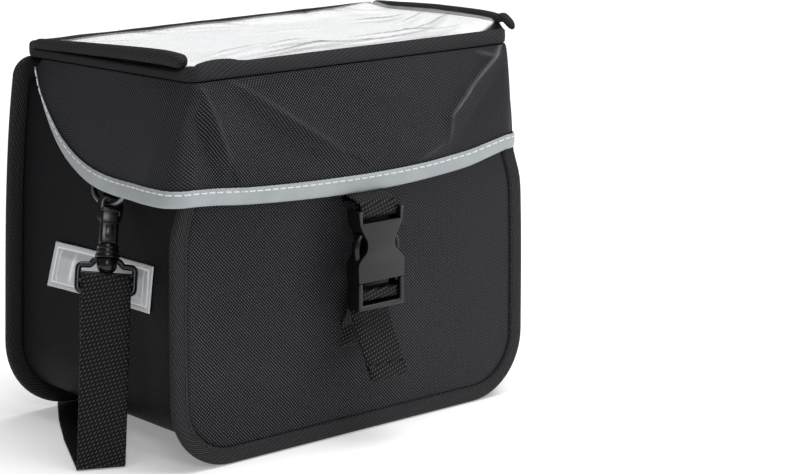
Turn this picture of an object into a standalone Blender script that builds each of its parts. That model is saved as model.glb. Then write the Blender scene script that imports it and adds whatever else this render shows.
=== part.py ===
"""Bicycle handlebar bag: a stiffened cloth bag with a buckled flap, a map window and a shoulder strap.

Metres, +Z up, +X across the handlebar, the front towards -Y. The bag stands on its bottom edges.
"""
import math
from collections import namedtuple

import bmesh
import bpy
from mathutils import Matrix, Vector

MM = 0.001

# Panels: the flat back and front walls, with the tape binding over their edges
Panel = namedtuple("Panel", "width top_width height radius bottom draw")
# How far the straight sides have drawn in, from the lower corners up to the top edge
EASY_DRAW = ((0.0, 0.0), (0.3, 0.03), (0.5, 0.1), (0.7, 0.3), (0.85, 0.58), (1.0, 1.0))  # rise, draw
TUCKED_DRAW = ((0.0, 0.0), (0.3, 0.03), (0.5, 0.09), (0.63, 0.2), (0.75, 0.66), (0.88, 0.8), (1.0, 1.0))
STRAP_THICK = 1.5 * MM
GAP = 0.3 * MM
BACK_WIDTH = 282 * MM
BACK_TOP_WIDTH = 269 * MM
BACK_HEIGHT = 215.7 * MM
BACK_RADIUS = 46 * MM
FRONT_WIDTH = 260 * MM
FRONT_TOP_WIDTH = 238 * MM
FRONT_HEIGHT = 190 * MM
FRONT_RADIUS = 39 * MM
FRONT_TUCK = 2 * MM
BACK = Panel(BACK_WIDTH, BACK_TOP_WIDTH, BACK_HEIGHT, BACK_RADIUS, STRAP_THICK + GAP, EASY_DRAW)
SIDE_FRONT = Panel(FRONT_WIDTH, FRONT_TOP_WIDTH, FRONT_HEIGHT, FRONT_RADIUS, 0.0, EASY_DRAW)
FRONT = SIDE_FRONT._replace(top_width=FRONT_TOP_WIDTH - FRONT_TUCK, draw=TUCKED_DRAW)
BAG_DEPTH = 159 * MM
BACK_LEAN = 14.5 * MM
TOP_RADIUS = 12 * MM
PANEL_THICK = 3 * MM
BINDING_WIDTH = 10 * MM
BINDING_THICK = 5 * MM
WALL = 1.6 * MM

# Gusset: the wall strip round the sides and the bottom
GUSSET_INSET = 9.5 * MM
GUSSET_TOP_DROP = 7 * MM
SIDE_PINCH = 3.2 * MM

# Lid: a flat panel, narrower in front, with a tape rim standing round it
LID_FRONT_TUCK = 9 * MM
LID_BACK_TUCK = 12 * MM
LID_FRONT_WIDTH = FRONT_TOP_WIDTH - LID_FRONT_TUCK
LID_BACK_WIDTH = BACK_TOP_WIDTH - LID_BACK_TUCK
LID_FRONT_OVERHANG = 1.3 * MM
LID_BACK_SETBACK = 3 * MM
LID_RADIUS = 6 * MM
LID_THICK = 3 * MM
RIM_WIDTH = 4.5 * MM
RIM_HEIGHT = 8.5 * MM
RIM_SIDE_HEIGHT = 4.8 * MM
RIM_STEP = 8 * MM
RIM_BOTTOM = BACK.height + GAP

# Map pocket: a white sheet under a clear film that has taped edges left and right
SHEET_THICK = 1.0 * MM
FILM_THICK = 1.0 * MM
FILM_RISE = 3.5 * MM
FILM_WAVE = 0.5 * MM
FILM_ROLL_WIDTH = 6 * MM
FILM_ROLL_HEIGHT = 6.2 * MM
FILM_ROLL_BACK = 7 * MM
FILM_LIFT = 4 * MM
FilmEdge = namedtuple("FilmEdge", "front rows")
FILM_EDGES = {  # where it starts behind the lid's front, then share of its length, shares of the lift up and out
    -1: FilmEdge(13 * MM, ((0.0, 0.0, 0.0), (1.0, 0.0, 0.0))),
    1: FilmEdge(3 * MM, ((0.0, 0.1, 0.1), (0.05, 0.6, 0.35), (0.12, 1.1, 0.45), (0.5, 0.6, 0.4), (0.85, 0.1, 0.2),
                         (1.0, 0.0, 0.0)))}

# Flap skirt: cloth hanging from the lid rim, flared towards its hem
SKIRT_DROP = 72.5 * MM
SKIRT_FLARE = 19 * MM
SKIRT_FRONT_FLARE = 4.2 * MM
SKIRT_TOP_RADIUS = 5 * MM
SKIRT_HEM_RADIUS = {-1: 15 * MM, 1: 14 * MM}
SKIRT_BACK_SETBACK = 16 * MM
TRIM_WIDTH = 10 * MM
TRIM_THICK = 1.0 * MM
HEM_FRONT = (  # share of the half width, shares of the drop on the left and on the right
    (0.0, 1.0, 1.0), (0.24, 0.99, 0.995), (0.48, 0.97, 0.975), (0.72, 0.94, 0.94), (0.88, 0.91, 0.89),
    (1.0, 0.895, 0.85))
HEM_SIDE = (  # share of the side from the front, shares of the drop on the left and on the right
    (0.0, 0.895, 0.85), (0.17, 0.9, 0.88), (0.36, 0.903, 0.895), (0.55, 0.86, 0.86), (0.7, 0.76, 0.76),
    (0.82, 0.615, 0.615), (0.91, 0.42, 0.42), (0.97, 0.22, 0.22), (1.0, 0.06, 0.06))
FLARE_SIDE = (  # share of the side from the front, shares of the flare on the left and on the right
    (0.0, 1.0, 0.7), (0.3, 0.64, 0.64), (0.45, 0.57, 0.57), (1.0, 0.2, 0.2))
FLARE_BOW = {-1: 1.0, 1: 0.6}
FOLDS = (  # x and drop share where it starts and ends, breadth and height shares of the drop
    (-0.98, 0.05, -0.7, 0.62, 0.06, 0.03),
    (-0.95, 0.25, -0.86, 0.7, 0.09, -0.025),
    (-0.82, 0.08, -0.1, 0.6, 0.16, 0.045),
    (-0.6, 0.05, 0.2, 0.35, 0.14, -0.04),
    (0.99, 0.05, 0.6, 0.7, 0.07, 0.05),
    (0.8, 0.1, 0.3, 0.7, 0.16, -0.02))

# Webbing and the side-release buckle on the front
WEBBING = 27 * MM
BUCKLE_WIDTH = 33 * MM
BUCKLE_THICK = 11 * MM
BUCKLE_FRONT = 20.7 * MM
BUCKLE_CORNER = 1.2 * MM
SOCKET_LENGTH = 41 * MM
SOCKET_WALL = 2.4 * MM
SOCKET_BOTTOM = 94.5 * MM
PLUG_LENGTH = 16 * MM
PLUG_RIM = 3.2 * MM
BAR_THICK = 3.6 * MM
STRAP_SLOT = WEBBING + 2 * GAP
WAIST = (  # share of the socket length from its lower end, share of the half width
    (0.0, 1.0), (0.27, 1.0), (0.36, 0.86), (0.43, 0.64), (0.5, 0.56), (0.58, 0.62), (0.68, 0.8), (0.8, 0.94),
    (0.88, 0.96), (1.0, 1.0))
FLAP_STRAP_TOP = 27 * MM
ANCHOR_LOW = 53 * MM
TAIL_LOW = 35.5 * MM
TAIL_REACH = 26.5 * MM
STRAP_BEND = 1.5 * MM

# Side patches, rings and swivel hooks, each at both sides
PATCH_FRONT = -50 * MM
PATCH_BACK = 37 * MM
PATCH_LOW = 84.5 * MM
PATCH_HEIGHT = 27.5 * MM
PATCH_SKEW = 9 * MM
PATCH_GAP = 0.6 * MM
PATCH_THICK = 0.8 * MM
RING_WIRE = 3.2 * MM
RING_CENTRE = -18 * MM
RING_BAR_Z = 157 * MM
RING_DROP = 14 * MM
RING_SWING = 4.2 * MM
TAB_LENGTH = 26 * MM
TAB_THICK = 1.2 * MM
HOOK_WIDTH = 13 * MM
HOOK_THICK = 6.4 * MM
HOOK_ALONG = -5 * MM
EYE_WALL = 2.8 * MM
EYE_HEIGHT = 15.5 * MM
BARREL_LENGTH = 12.5 * MM
BARREL_WIDTH = 10.3 * MM
COLLAR_RADIUS = 6.8 * MM
COLLAR_HEIGHT = 7.5 * MM
PIN_RADIUS = 2.1 * MM
PIN_HEAD = 1.4 * MM
FRAME_WIRE = 2.1 * MM
FRAME_WIDTH = 36.5 * MM
FRAME_HEIGHT = 18 * MM
FRAME_BAR_DROP = 11 * MM
HOOK_LEAN = (-12.5 * MM, -12 * MM, -42 * MM)

# Shoulder strap: where the right-hand run turns on the floor, and the route behind the bag
FOLD_POINT = (-151.5 * MM, -39.5 * MM)
FOLD_RADIUS = 2.2 * MM
STRAP_RETURN = 32 * MM
STRAP_ROUTE = (  # x and y of the middle of the strap on the floor
    (-127 * MM, 11.5 * MM), (-104 * MM, 53 * MM), (-80 * MM, 86 * MM), (-43 * MM, 101 * MM), (0.0, 103 * MM))

# Receiver for the handlebar bracket, on the back panel
RECEIVER_WIDTH = 72 * MM
RECEIVER_HEIGHT = 84 * MM
RECEIVER_THICK = 9 * MM
RECEIVER_MIDDLE = 132 * MM

ARC_STEPS = 6
STRAIGHT_BEND = math.radians(82)
ROUND_SIDES = 16


def between(table, share, column=1):
    """One column of a table at a share of the first, along straight lines."""
    for low, high in zip(table, table[1:]):
        if share <= high[0]:
            part = max((share - low[0]) / (high[0] - low[0]), 0.0)
            return mix(low[column], high[column], part)
    return table[-1][column]


def mix(first, second, share):
    return first + (second - first) * share


def finish(name, colour, roughness, metallic=0.0):
    """A plain Principled material from a linear colour."""
    made = bpy.data.materials.new(name)
    made.use_nodes = True
    shader = made.node_tree.nodes["Principled BSDF"]
    shader.inputs["Base Color"].default_value = (*colour, 1.0)
    shader.inputs["Roughness"].default_value = roughness
    shader.inputs["Metallic"].default_value = metallic
    return made


def place(name, mesh, material):
    """A finished mesh as an object of the bag, carried by its empty."""
    mesh.materials.clear()
    mesh.materials.append(material)
    made = bpy.data.objects.new(name, mesh)
    BAG.objects.link(made)
    made.parent = CARRIER
    return made


def mesh_from(shape, name):
    """A mesh from a bmesh whose faces are turned outwards first."""
    bmesh.ops.recalc_face_normals(shape, faces=shape.faces)
    mesh = bpy.data.meshes.new(name)
    shape.to_mesh(mesh)
    shape.free()
    return mesh


def loft(name, rings, material, closed=False):
    """A closed body through rings of equally many points, with capped ends or a closed run."""
    shape = bmesh.new()
    rows = [[shape.verts.new(point) for point in ring] for ring in rings]
    pairs = list(zip(rows, rows[1:]))
    if closed:
        pairs.append((rows[-1], rows[0]))
    else:
        shape.faces.new(rows[0])
        shape.faces.new(rows[-1])
    count = len(rows[0])
    for low, high in pairs:
        for index in range(count):
            after = (index + 1) % count
            shape.faces.new((low[index], low[after], high[after], high[index]))
    return place(name, mesh_from(shape, name), material)


def cloth(name, rows, thickness, offset, material):
    """An open grid of points made a wall by Solidify."""
    shape = bmesh.new()
    made_rows = [[shape.verts.new(point) for point in row] for row in rows]
    for low, high in zip(made_rows, made_rows[1:]):
        for index in range(len(low) - 1):
            shape.faces.new((low[index], low[index + 1], high[index + 1], high[index]))
    mesh = bpy.data.meshes.new(name)
    shape.to_mesh(mesh)
    shape.free()
    made = place(name, mesh, material)
    wall = made.modifiers.new("wall", "SOLIDIFY")
    wall.thickness = thickness
    wall.offset = offset
    return made


def block(name, size, centre, material, bevel=0.0):
    """A box by its size and centre, with rounded edges if asked."""
    shape = bmesh.new()
    bmesh.ops.create_cube(shape, size=1.0, matrix=Matrix.Diagonal((*size, 1.0)))
    made = place(name, mesh_from(shape, name), material)
    made.location = centre
    if bevel:
        edge = made.modifiers.new("edges", "BEVEL")
        edge.width = bevel
        edge.segments = 2
    return made


def half_width(panel, z):
    """Half the panel's width at a height, drawn in towards the top."""
    low = panel.bottom + panel.radius
    rise = min(max((z - low) / (panel.height - low), 0.0), 1.0)
    return panel.width / 2 - (panel.width - panel.top_width) / 2 * between(panel.draw, rise)


def right_edge(panel, inset, top, top_radius):
    """x and z down the right side from the top edge and round the lower corner."""
    points = []
    if top_radius:
        middle = half_width(panel, top - top_radius) - inset - top_radius
        for step in range(ARC_STEPS // 2 + 1):
            angle = math.radians(90) * (1 - step / (ARC_STEPS // 2))
            points.append((middle + top_radius * math.cos(angle), top - top_radius + top_radius * math.sin(angle)))
    high = top - top_radius
    low = panel.bottom + panel.radius
    for share in ((0.85, 0.7, 0.5, 0.25) if top_radius else (1.0, 0.85, 0.7, 0.5, 0.25)):
        z = mix(low, high, share)
        points.append((half_width(panel, z) - inset, z))
    radius = panel.radius - inset
    for step in range(ARC_STEPS + 1):
        angle = math.radians(90) * step / ARC_STEPS
        points.append((panel.width / 2 - panel.radius + radius * math.cos(angle), low - radius * math.sin(angle)))
    return points


def panel_outline(panel, inset):
    """The whole outline of a panel, inset from its edge, clockwise seen from the front."""
    radius = max(TOP_RADIUS - inset, WALL)
    right = right_edge(panel, inset, panel.height - inset, radius)
    return right + [(-x, z) for x, z in reversed(right)]


def front_face(z, depth):
    """y at a depth behind the outermost front plane."""
    return -BAG_DEPTH / 2 + depth


def back_face(z, depth):
    """y at a depth in from the outermost back plane, which leans forward towards the top."""
    return BAG_DEPTH / 2 - BACK_LEAN * z / BACK.height - depth


def flat_panel(name, panel, face, material):
    """The panel's plate, inside its binding."""
    line = panel_outline(panel, BINDING_WIDTH + GAP)
    sunk = (BINDING_THICK - PANEL_THICK) / 2
    rings = [[(x, face(z, depth), z) for x, z in line] for depth in (sunk, sunk + PANEL_THICK)]
    return loft(name, rings, material)


def edge_binding(name, panel, face, material):
    """Tape rolled over the edge of a panel, all the way round."""
    section = (  # share of the tape's width, share of its thickness
        (1.0, 0.0), (0.16, 0.0), (0.0, 0.3), (0.0, 0.7), (0.16, 1.0), (1.0, 1.0))
    lines = [(panel_outline(panel, inset * BINDING_WIDTH), depth * BINDING_THICK) for inset, depth in section]
    rings = []
    for index in range(len(lines[0][0])):
        ring = [(line[index], depth) for line, depth in lines]
        rings.append([(x, face(z, depth), z) for (x, z), depth in ring])
    return loft(name, rings, material, closed=True)


def wall_point(front_point, back_point, share):
    """A point of the gusset's outer face between its front and back lines, drawn in at the sides."""
    inner = BINDING_THICK + GAP
    start = Vector((front_point[0], front_face(front_point[1], inner), front_point[1]))
    end = Vector((back_point[0], back_face(back_point[1], inner), back_point[1]))
    point = start.lerp(end, share)
    side = min(max(abs(point.x) / (FRONT.width / 2 - GUSSET_INSET) * 4 - 3, 0.0), 1.0)
    rise = min(max(point.z / BACK.height, 0.0), 1.0)
    draw = SIDE_PINCH * math.sin(math.pi * share) * math.sin(math.pi * rise) * side
    point.x -= math.copysign(draw, point.x)
    return point


def side_wall_x(y, z):
    """How far out the gusset's side stands at a place, on the right."""
    share = 0.5
    for _ in range(4):
        lines = [(panel.bottom + panel.radius, top) for panel, top in ((FRONT, FRONT.height), (BACK, GUSSET_TOP))]
        low, high = (mix(front, back, share) for front, back in zip(*lines))
        front_z, back_z = (mix(start, end, (z - low) / (high - low)) for start, end in lines)
        front_y = front_face(front_z, BINDING_THICK + GAP)
        share = (y - front_y) / (back_face(back_z, BINDING_THICK + GAP) - front_y)
    front_point = (half_width(SIDE_FRONT, front_z) - GUSSET_INSET, front_z)
    return wall_point(front_point, (half_width(BACK, back_z) - GUSSET_INSET, back_z), share).x


def gusset():
    """The wall round the right side, the bottom and the left side, open at the top."""
    front_right = right_edge(SIDE_FRONT, GUSSET_INSET, FRONT.height, 0.0)
    back_right = right_edge(BACK, GUSSET_INSET, GUSSET_TOP, 0.0)
    front_line = front_right + [(-x, z) for x, z in reversed(front_right)]
    back_line = back_right + [(-x, z) for x, z in reversed(back_right)]
    shares = (0.0, 0.12, 0.3, 0.5, 0.7, 0.88, 1.0)
    rows = [[wall_point(front, back, share) for share in shares] for front, back in zip(front_line, back_line)]
    return cloth("gusset", rows, WALL, 1.0, POLYESTER)


def lid_half(y):
    """Half the lid's width at a depth."""
    share = (y - LID_FRONT_Y) / (LID_BACK_Y - LID_FRONT_Y)
    return mix(LID_FRONT_WIDTH, LID_BACK_WIDTH, share) / 2


def lid_outline(inset):
    """The lid's outline seen from above, with small round corners."""
    radius = max(LID_RADIUS - inset, WALL)
    right = []
    for y, start in ((LID_FRONT_Y + inset + radius, -90), (LID_BACK_Y - inset - radius, 0)):
        for step in range(5):
            angle = math.radians(start + 90 * step / 4)
            right.append((lid_half(y) - inset - radius + radius * math.cos(angle), y + radius * math.sin(angle)))
        if start < 0:
            for y in (LID_FRONT_Y + RIM_STEP, LID_FRONT_Y + 1.5 * RIM_STEP):
                right.append((lid_half(y) - inset, y))
    return right + [(-x, y) for x, y in reversed(right)]


def lid_plate(name, inset, bottom, thickness, material):
    """A flat layer of the lid."""
    line = lid_outline(inset)
    return loft(name, [[(x, y, z) for x, y in line] for z in (bottom, bottom + thickness)], material)


def lid_rim():
    """The tape rim that stands round the lid."""
    section = (  # share of the rim's width, share of its height
        (0.25, 0.0), (0.0, 0.2), (0.0, 0.8), (0.3, 1.0), (0.75, 1.0), (1.0, 0.8), (1.0, 0.0))
    lines = [(lid_outline(inset * RIM_WIDTH), height) for inset, height in section]
    rings = []
    for index in range(len(lines[0][0])):
        behind = lines[0][0][index][1] > LID_FRONT_Y + 1.25 * RIM_STEP
        tall = RIM_SIDE_HEIGHT if behind else RIM_HEIGHT
        rings.append([(*line[index], RIM_BOTTOM + height * tall) for line, height in lines])
    return loft("lid_rim_binding", rings, BINDING_TAPE, closed=True)


def map_film():
    """The clear window: flat over the sheet, rising to its taped edges left and right."""
    columns = 15
    depths = (0.0, 0.2, 0.4, 0.6, 0.8, 1.0)
    inset = RIM_WIDTH + GAP
    rows = []
    for step in range(columns):
        across = 2 * step / (columns - 1) - 1
        row = []
        for share in depths:
            y = mix(LID_FRONT_Y + inset, LID_BACK_Y - inset, share)
            reach = lid_half(y) - max(inset, FILM_ROLL_WIDTH + GAP)
            edge = FILM_RISE + (FILM_LIFT * 0.5 if across > 0 else 0.0)
            rise = edge * max(abs(across) * 4 - 3, 0.0) ** 2 * math.sin(math.pi * mix(0.05, 0.95, share))
            wave = FILM_WAVE * (1 + math.sin(9.0 * across + 5.0 * share)) * math.sin(math.pi * share)
            row.append((across * reach, y, SHEET_TOP + GAP + rise + wave))
        rows.append(row)
    return cloth("map_film", rows, FILM_THICK, -1.0, CLEAR_VINYL)


def film_roll(name, side):
    """The taped edge of the window, lying on the lid's rim and lifting off it on the right."""
    edge = FILM_EDGES[side]
    front = LID_FRONT_Y + edge.front
    back = LID_BACK_Y - FILM_ROLL_BACK
    rings = []
    for share, scale in ((0.0, 0.55), (0.02, 0.9), (0.06, 1.0), (0.2, 1.0), (0.4, 1.0), (0.6, 1.0), (0.8, 1.0),
                         (0.96, 1.0), (1.0, 0.6)):
        y = mix(front, back, share)
        middle = lid_half(y) - FILM_ROLL_WIDTH / 2 + FILM_LIFT * between(edge.rows, share, 2)
        low = (RIM_TOP if side > 0 and share < 0.1 else RIM_SIDE_TOP) + GAP
        low += FILM_LIFT * between(edge.rows, share)
        ring = []
        for step in range(8):
            angle = math.radians(22.5 + 45 * step)
            across = FILM_ROLL_WIDTH / 2 * math.copysign(abs(math.cos(angle)) ** 0.7, math.cos(angle))
            up = FILM_ROLL_HEIGHT / 2 * math.copysign(abs(math.sin(angle)) ** 0.7, math.sin(angle)) * scale
            ring.append((side * (middle + across * scale), y, low + FILM_ROLL_HEIGHT / 2 + up))
        rings.append(ring)
    return loft(name, rings, BINDING_TAPE)


def fold_height(across, drop):
    """How far the folds push the skirt's front out or in, by place as shares."""
    height = 0.0
    for x0, d0, x1, d1, breadth, rise in FOLDS:
        run = Vector((x1 - x0, d1 - d0))
        place_on = Vector((across - x0, drop - d0))
        along = min(max(place_on.dot(run) / run.length_squared, 0.0), 1.0)
        off = (place_on - run * along).length
        height += rise * SKIRT_DROP * math.exp(-(off / breadth) ** 2) * math.sin(math.pi * mix(0.12, 0.88, along))
    return height


def skirt_point(side, column, drop, outward):
    """A point of the skirt: column runs 0 to 3 from the front's middle, past the corner, to the back end."""
    hand = 1 if side < 0 else 2
    radius = mix(SKIRT_TOP_RADIUS, SKIRT_HEM_RADIUS[side], drop)
    flare = SKIRT_FLARE * drop ** FLARE_BOW[side]
    corner_x = LID_FRONT_WIDTH / 2 + flare * FLARE_SIDE[0][hand] + outward
    front_y = LID_FRONT_Y - SKIRT_FRONT_FLARE * (1 - (1 - drop) ** 2) - outward
    back_y = LID_BACK_Y - SKIRT_BACK_SETBACK
    if column <= 1.0:
        share = between(HEM_FRONT, column, hand)
        x = (corner_x - radius) * column
        y = front_y - fold_height(side * column, drop)
    elif column <= 2.0:
        share = HEM_SIDE[0][hand]
        angle = math.radians(90) * (column - 1)
        x = corner_x - radius + radius * math.sin(angle)
        y = front_y + radius - radius * math.cos(angle)
    else:
        along = column - 2
        share = between(HEM_SIDE, along, hand)
        y = mix(front_y + radius, back_y, along)
        x = lid_half(y) + flare * between(FLARE_SIDE, along, hand) + outward
        x = mix(corner_x, x, min(along * 5, 1.0))
    return Vector((side * x, y, RIM_BOTTOM - GAP - SKIRT_DROP * share * drop))


def skirt_columns():
    """Column values from the back end on the right, round the front, to the back end on the left."""
    half = [3 - step / 9 for step in range(9)]
    half += [2 - step / 4 for step in range(4)]
    half += [1 - step / 9 for step in range(9)]
    return [(1, value) for value in half] + [(1, 0.0)] + [(-1, value) for value in reversed(half)]


def skirt_rows(drops, outward):
    """Rows of points over the skirt for the given shares of its drop."""
    return [[skirt_point(side, column, drop, outward) for side, column in skirt_columns()] for drop in drops]


def lid_skirt():
    """The flap's hanging wall, from one side round the front to the other side."""
    drops = (0.0, 0.1, 0.22, 0.36, 0.5, 0.64, 0.76, 0.88, 1.0)
    return cloth("lid_skirt", skirt_rows(drops, 0.0), WALL, -1.0, POLYESTER)


def hem_trim():
    """The reflective tape on the skirt's outside along its hem."""
    start = 1 - TRIM_WIDTH / SKIRT_DROP
    drops = (start, mix(start, 1.0, 0.5), 1.0)
    return cloth("hem_trim", skirt_rows(drops, 2 * GAP + TRIM_THICK), TRIM_THICK, -1.0, REFLECTIVE_TAPE)


def ribbon(name, points, across, width, thickness, material):
    """Flat webbing along a line of points, its width along one direction."""
    across = Vector(across).normalized() * width / 2
    rings = []
    for index, point in enumerate(points):
        before = Vector(points[max(index - 1, 0)])
        after = Vector(points[min(index + 1, len(points) - 1)])
        normal = (after - before).cross(across).normalized() * thickness / 2
        middle = Vector(point)
        rings.append([middle + across + normal, middle - across + normal,
                      middle - across - normal, middle + across - normal])
    return loft(name, rings, material)


def rounded(points, radius, steps=4):
    """A line of points whose inner corners are replaced by short arcs."""
    line = [Vector(point) for point in points]
    made = [line[0]]
    for before, corner, after in zip(line, line[1:], line[2:]):
        back = (before - corner).normalized()
        ahead = (after - corner).normalized()
        half = back.angle(ahead) / 2
        if half > STRAIGHT_BEND:
            made.append(corner)
            continue
        reach = min(radius / math.tan(half), (before - corner).length * 0.48, (after - corner).length * 0.48)
        start = corner + back * reach
        end = corner + ahead * reach
        for step in range(steps + 1):
            share = step / steps
            made.append(start.lerp(corner, share).lerp(corner.lerp(end, share), share))
    return made + [line[-1]]


def cut(target, cutter):
    """Take one solid out of another."""
    cutter.hide_render = True
    cutter.display_type = "WIRE"
    BAG.objects.unlink(cutter)
    CUTTERS.objects.link(cutter)
    step = target.modifiers.new("cut", "BOOLEAN")
    step.operation = "DIFFERENCE"
    step.solver = "EXACT"
    step.object = cutter


def fuse(target, other):
    """Join one solid to another."""
    other.hide_render = True
    other.display_type = "WIRE"
    BAG.objects.unlink(other)
    CUTTERS.objects.link(other)
    step = target.modifiers.new("fuse", "BOOLEAN")
    step.operation = "UNION"
    step.solver = "EXACT"
    step.object = other


def buckle_socket():
    """The upper half of the buckle: waisted at both sides, hollow below, with a strap bar above."""
    right = [(BUCKLE_WIDTH / 2 * width, SOCKET_BOTTOM + SOCKET_LENGTH * rise) for rise, width in WAIST]
    line = right + [(-x, z) for x, z in reversed(right)]
    rings = [[(x, y, z) for x, z in line] for y in (BUCKLE_Y - BUCKLE_THICK / 2, BUCKLE_Y + BUCKLE_THICK / 2)]
    body = loft("buckle_socket", rings, MOULDED_PLASTIC)
    notch = block("socket_notch", (STRAP_SLOT, BUCKLE_THICK * 2, SLOT_HEIGHT * 2),
                  (0.0, BUCKLE_Y, SOCKET_TOP), MOULDED_PLASTIC)
    cut(body, notch)
    bar = block("socket_bar", (BUCKLE_WIDTH - PLUG_RIM, BAR_THICK, BAR_THICK),
                (0.0, BUCKLE_Y, SOCKET_TOP - BAR_THICK / 2), MOULDED_PLASTIC)
    fuse(body, bar)
    pocket = block("socket_pocket", (POCKET_WIDTH, POCKET_THICK, POCKET_HEIGHT * 2),
                   (0.0, BUCKLE_Y, SOCKET_BOTTOM), MOULDED_PLASTIC)
    cut(body, pocket)
    return body


def buckle_plug():
    """The lower half of the buckle: a strap frame with two sprung prongs inside the socket."""
    middle = SOCKET_BOTTOM - GAP - PLUG_LENGTH / 2
    body = block("buckle_plug", (BUCKLE_WIDTH, BUCKLE_THICK, PLUG_LENGTH), (0.0, BUCKLE_Y, middle),
                 MOULDED_PLASTIC, BUCKLE_CORNER)
    window = block("plug_window", (STRAP_SLOT, BUCKLE_THICK * 2, PLUG_WINDOW),
                   (0.0, BUCKLE_Y, PLUG_WINDOW_MIDDLE), MOULDED_PLASTIC)
    cut(body, window)
    bar = block("plug_bar", (BUCKLE_WIDTH - PLUG_RIM, BAR_THICK, BAR_THICK),
                (0.0, BUCKLE_Y, PLUG_BAR_Z), MOULDED_PLASTIC)
    fuse(body, bar)
    for side in (-1, 1):
        stem_top = SOCKET_BOTTOM + SOCKET_LENGTH * 0.62
        stem_low = SOCKET_BOTTOM - 2 * GAP
        stem = block(f"plug_prong_{side}", (PRONG_WIDTH, POCKET_THICK - 2 * GAP, stem_top - stem_low),
                     (side * (POCKET_WIDTH / 2 - GAP - PRONG_WIDTH / 2), BUCKLE_Y, (stem_top + stem_low) / 2),
                     MOULDED_PLASTIC)
        fuse(body, stem)
    return body


def flap_strap():
    """Webbing from under the flap, round the socket's bar and back up behind itself."""
    layer = STRAP_THICK + GAP
    inner = PANEL_FACE - GAP - STRAP_THICK / 2
    outer = inner - layer
    wrap = BAR_THICK / 2 + GAP + STRAP_THICK / 2
    bar_z = SOCKET_TOP - BAR_THICK / 2
    shelf = HEM_MIDDLE - layer - STRAP_THICK / 2
    points = [(0.0, outer, HEM_MIDDLE + FLAP_STRAP_TOP), (0.0, outer, shelf),
              (0.0, BUCKLE_Y - wrap, shelf - GAP), (0.0, BUCKLE_Y - wrap, bar_z - wrap),
              (0.0, BUCKLE_Y + wrap, bar_z - wrap), (0.0, BUCKLE_Y + wrap, shelf - layer),
              (0.0, inner, shelf - layer), (0.0, inner, HEM_MIDDLE + FLAP_STRAP_TOP / 2)]
    return ribbon("flap_strap", rounded(points, STRAP_BEND), (1, 0, 0), WEBBING, STRAP_THICK, WEBBING_WEAVE)


def panel_strap():
    """Webbing sewn to the front panel, threaded through the plug, with its free tail hanging forward."""
    sewn = PANEL_FACE - GAP - STRAP_THICK / 2
    wrap = BAR_THICK / 2 + GAP + STRAP_THICK / 2
    tail = BUCKLE_Y + BUCKLE_THICK / 2 + GAP + STRAP_THICK / 2
    anchor = tail + STRAP_THICK + GAP
    rim = PLUG_BAR_Z - PLUG_WINDOW / 2
    low = rim - PLUG_RIM
    front = front_face(0.0, 0.0) - TAIL_REACH
    points = [(0.0, sewn, ANCHOR_LOW), (0.0, sewn, mix(ANCHOR_LOW, low, 0.5)), (0.0, anchor, low),
              (0.0, anchor, PLUG_BAR_Z), (0.0, BUCKLE_Y + wrap, PLUG_BAR_Z + wrap),
              (0.0, BUCKLE_Y - wrap, PLUG_BAR_Z + wrap), (0.0, BUCKLE_Y - wrap, PLUG_BAR_Z - wrap),
              (0.0, BUCKLE_Y + wrap, PLUG_BAR_Z - wrap), (0.0, tail, rim + STRAP_THICK),
              (0.0, tail, low - STRAP_THICK)]
    for share, reach in ((0.12, 0.09), (0.4, 0.38), (0.7, 0.71), (1.0, 1.0)):
        points.append((0.0, mix(tail, front, reach), mix(low - STRAP_THICK, TAIL_LOW, share)))
    return ribbon("panel_strap", rounded(points, STRAP_BEND), (1, 0, 0), WEBBING, STRAP_THICK, WEBBING_WEAVE)


def side_patch(name, side):
    """The reflective vinyl patch, lying on the gusset's side."""
    rings = []
    for step in range(9):
        share = step / 8
        ring = []
        for rise, out in ((0.0, 0.0), (1.0, 0.0), (1.0, 1.0), (0.0, 1.0)):
            z = PATCH_LOW + PATCH_HEIGHT * rise
            slide = PATCH_SKEW * (1 - rise) * mix(0.45, 1.0, share)
            y = mix(PATCH_FRONT, PATCH_BACK, share) + slide
            ring.append((side * (side_wall_x(y, z) + PATCH_GAP + PATCH_THICK * out), y, z))
        rings.append(ring)
    return loft(name, rings, REFLECTIVE_VINYL)


def ring_line():
    """x out, y and z along the ring's wire: a straight bar above and a bowed lower part."""
    bar_x = RING_BAR_X
    half = WEBBING / 2 + RING_WIRE / 2 + GAP
    points = [(bar_x, RING_CENTRE + half * share, RING_BAR_Z) for share in (0.9, 0.45, 0.0, -0.45, -0.9)]
    for step in range(13):
        angle = math.radians(180 * step / 12)
        drop = RING_DROP * math.sin(angle) ** 0.55
        points.append((bar_x + RING_SWING * drop / RING_DROP, RING_CENTRE - half * math.cos(angle),
                       RING_BAR_Z - drop))
    return points


def d_ring(name, side):
    """A wire ring that hangs from its webbing tab."""
    path = bpy.data.curves.new(name, "CURVE")
    path.dimensions = "3D"
    path.bevel_depth = RING_WIRE / 2
    path.bevel_resolution = 2
    points = ring_line()
    line = path.splines.new("POLY")
    line.points.add(len(points) - 1)
    for point, (x, y, z) in zip(line.points, points):
        point.co = (side * x, y, z, 1.0)
    line.use_cyclic_u = True
    path.materials.append(STEEL_WIRE)
    made = bpy.data.objects.new(name, path)
    BAG.objects.link(made)
    made.parent = CARRIER
    return made


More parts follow.
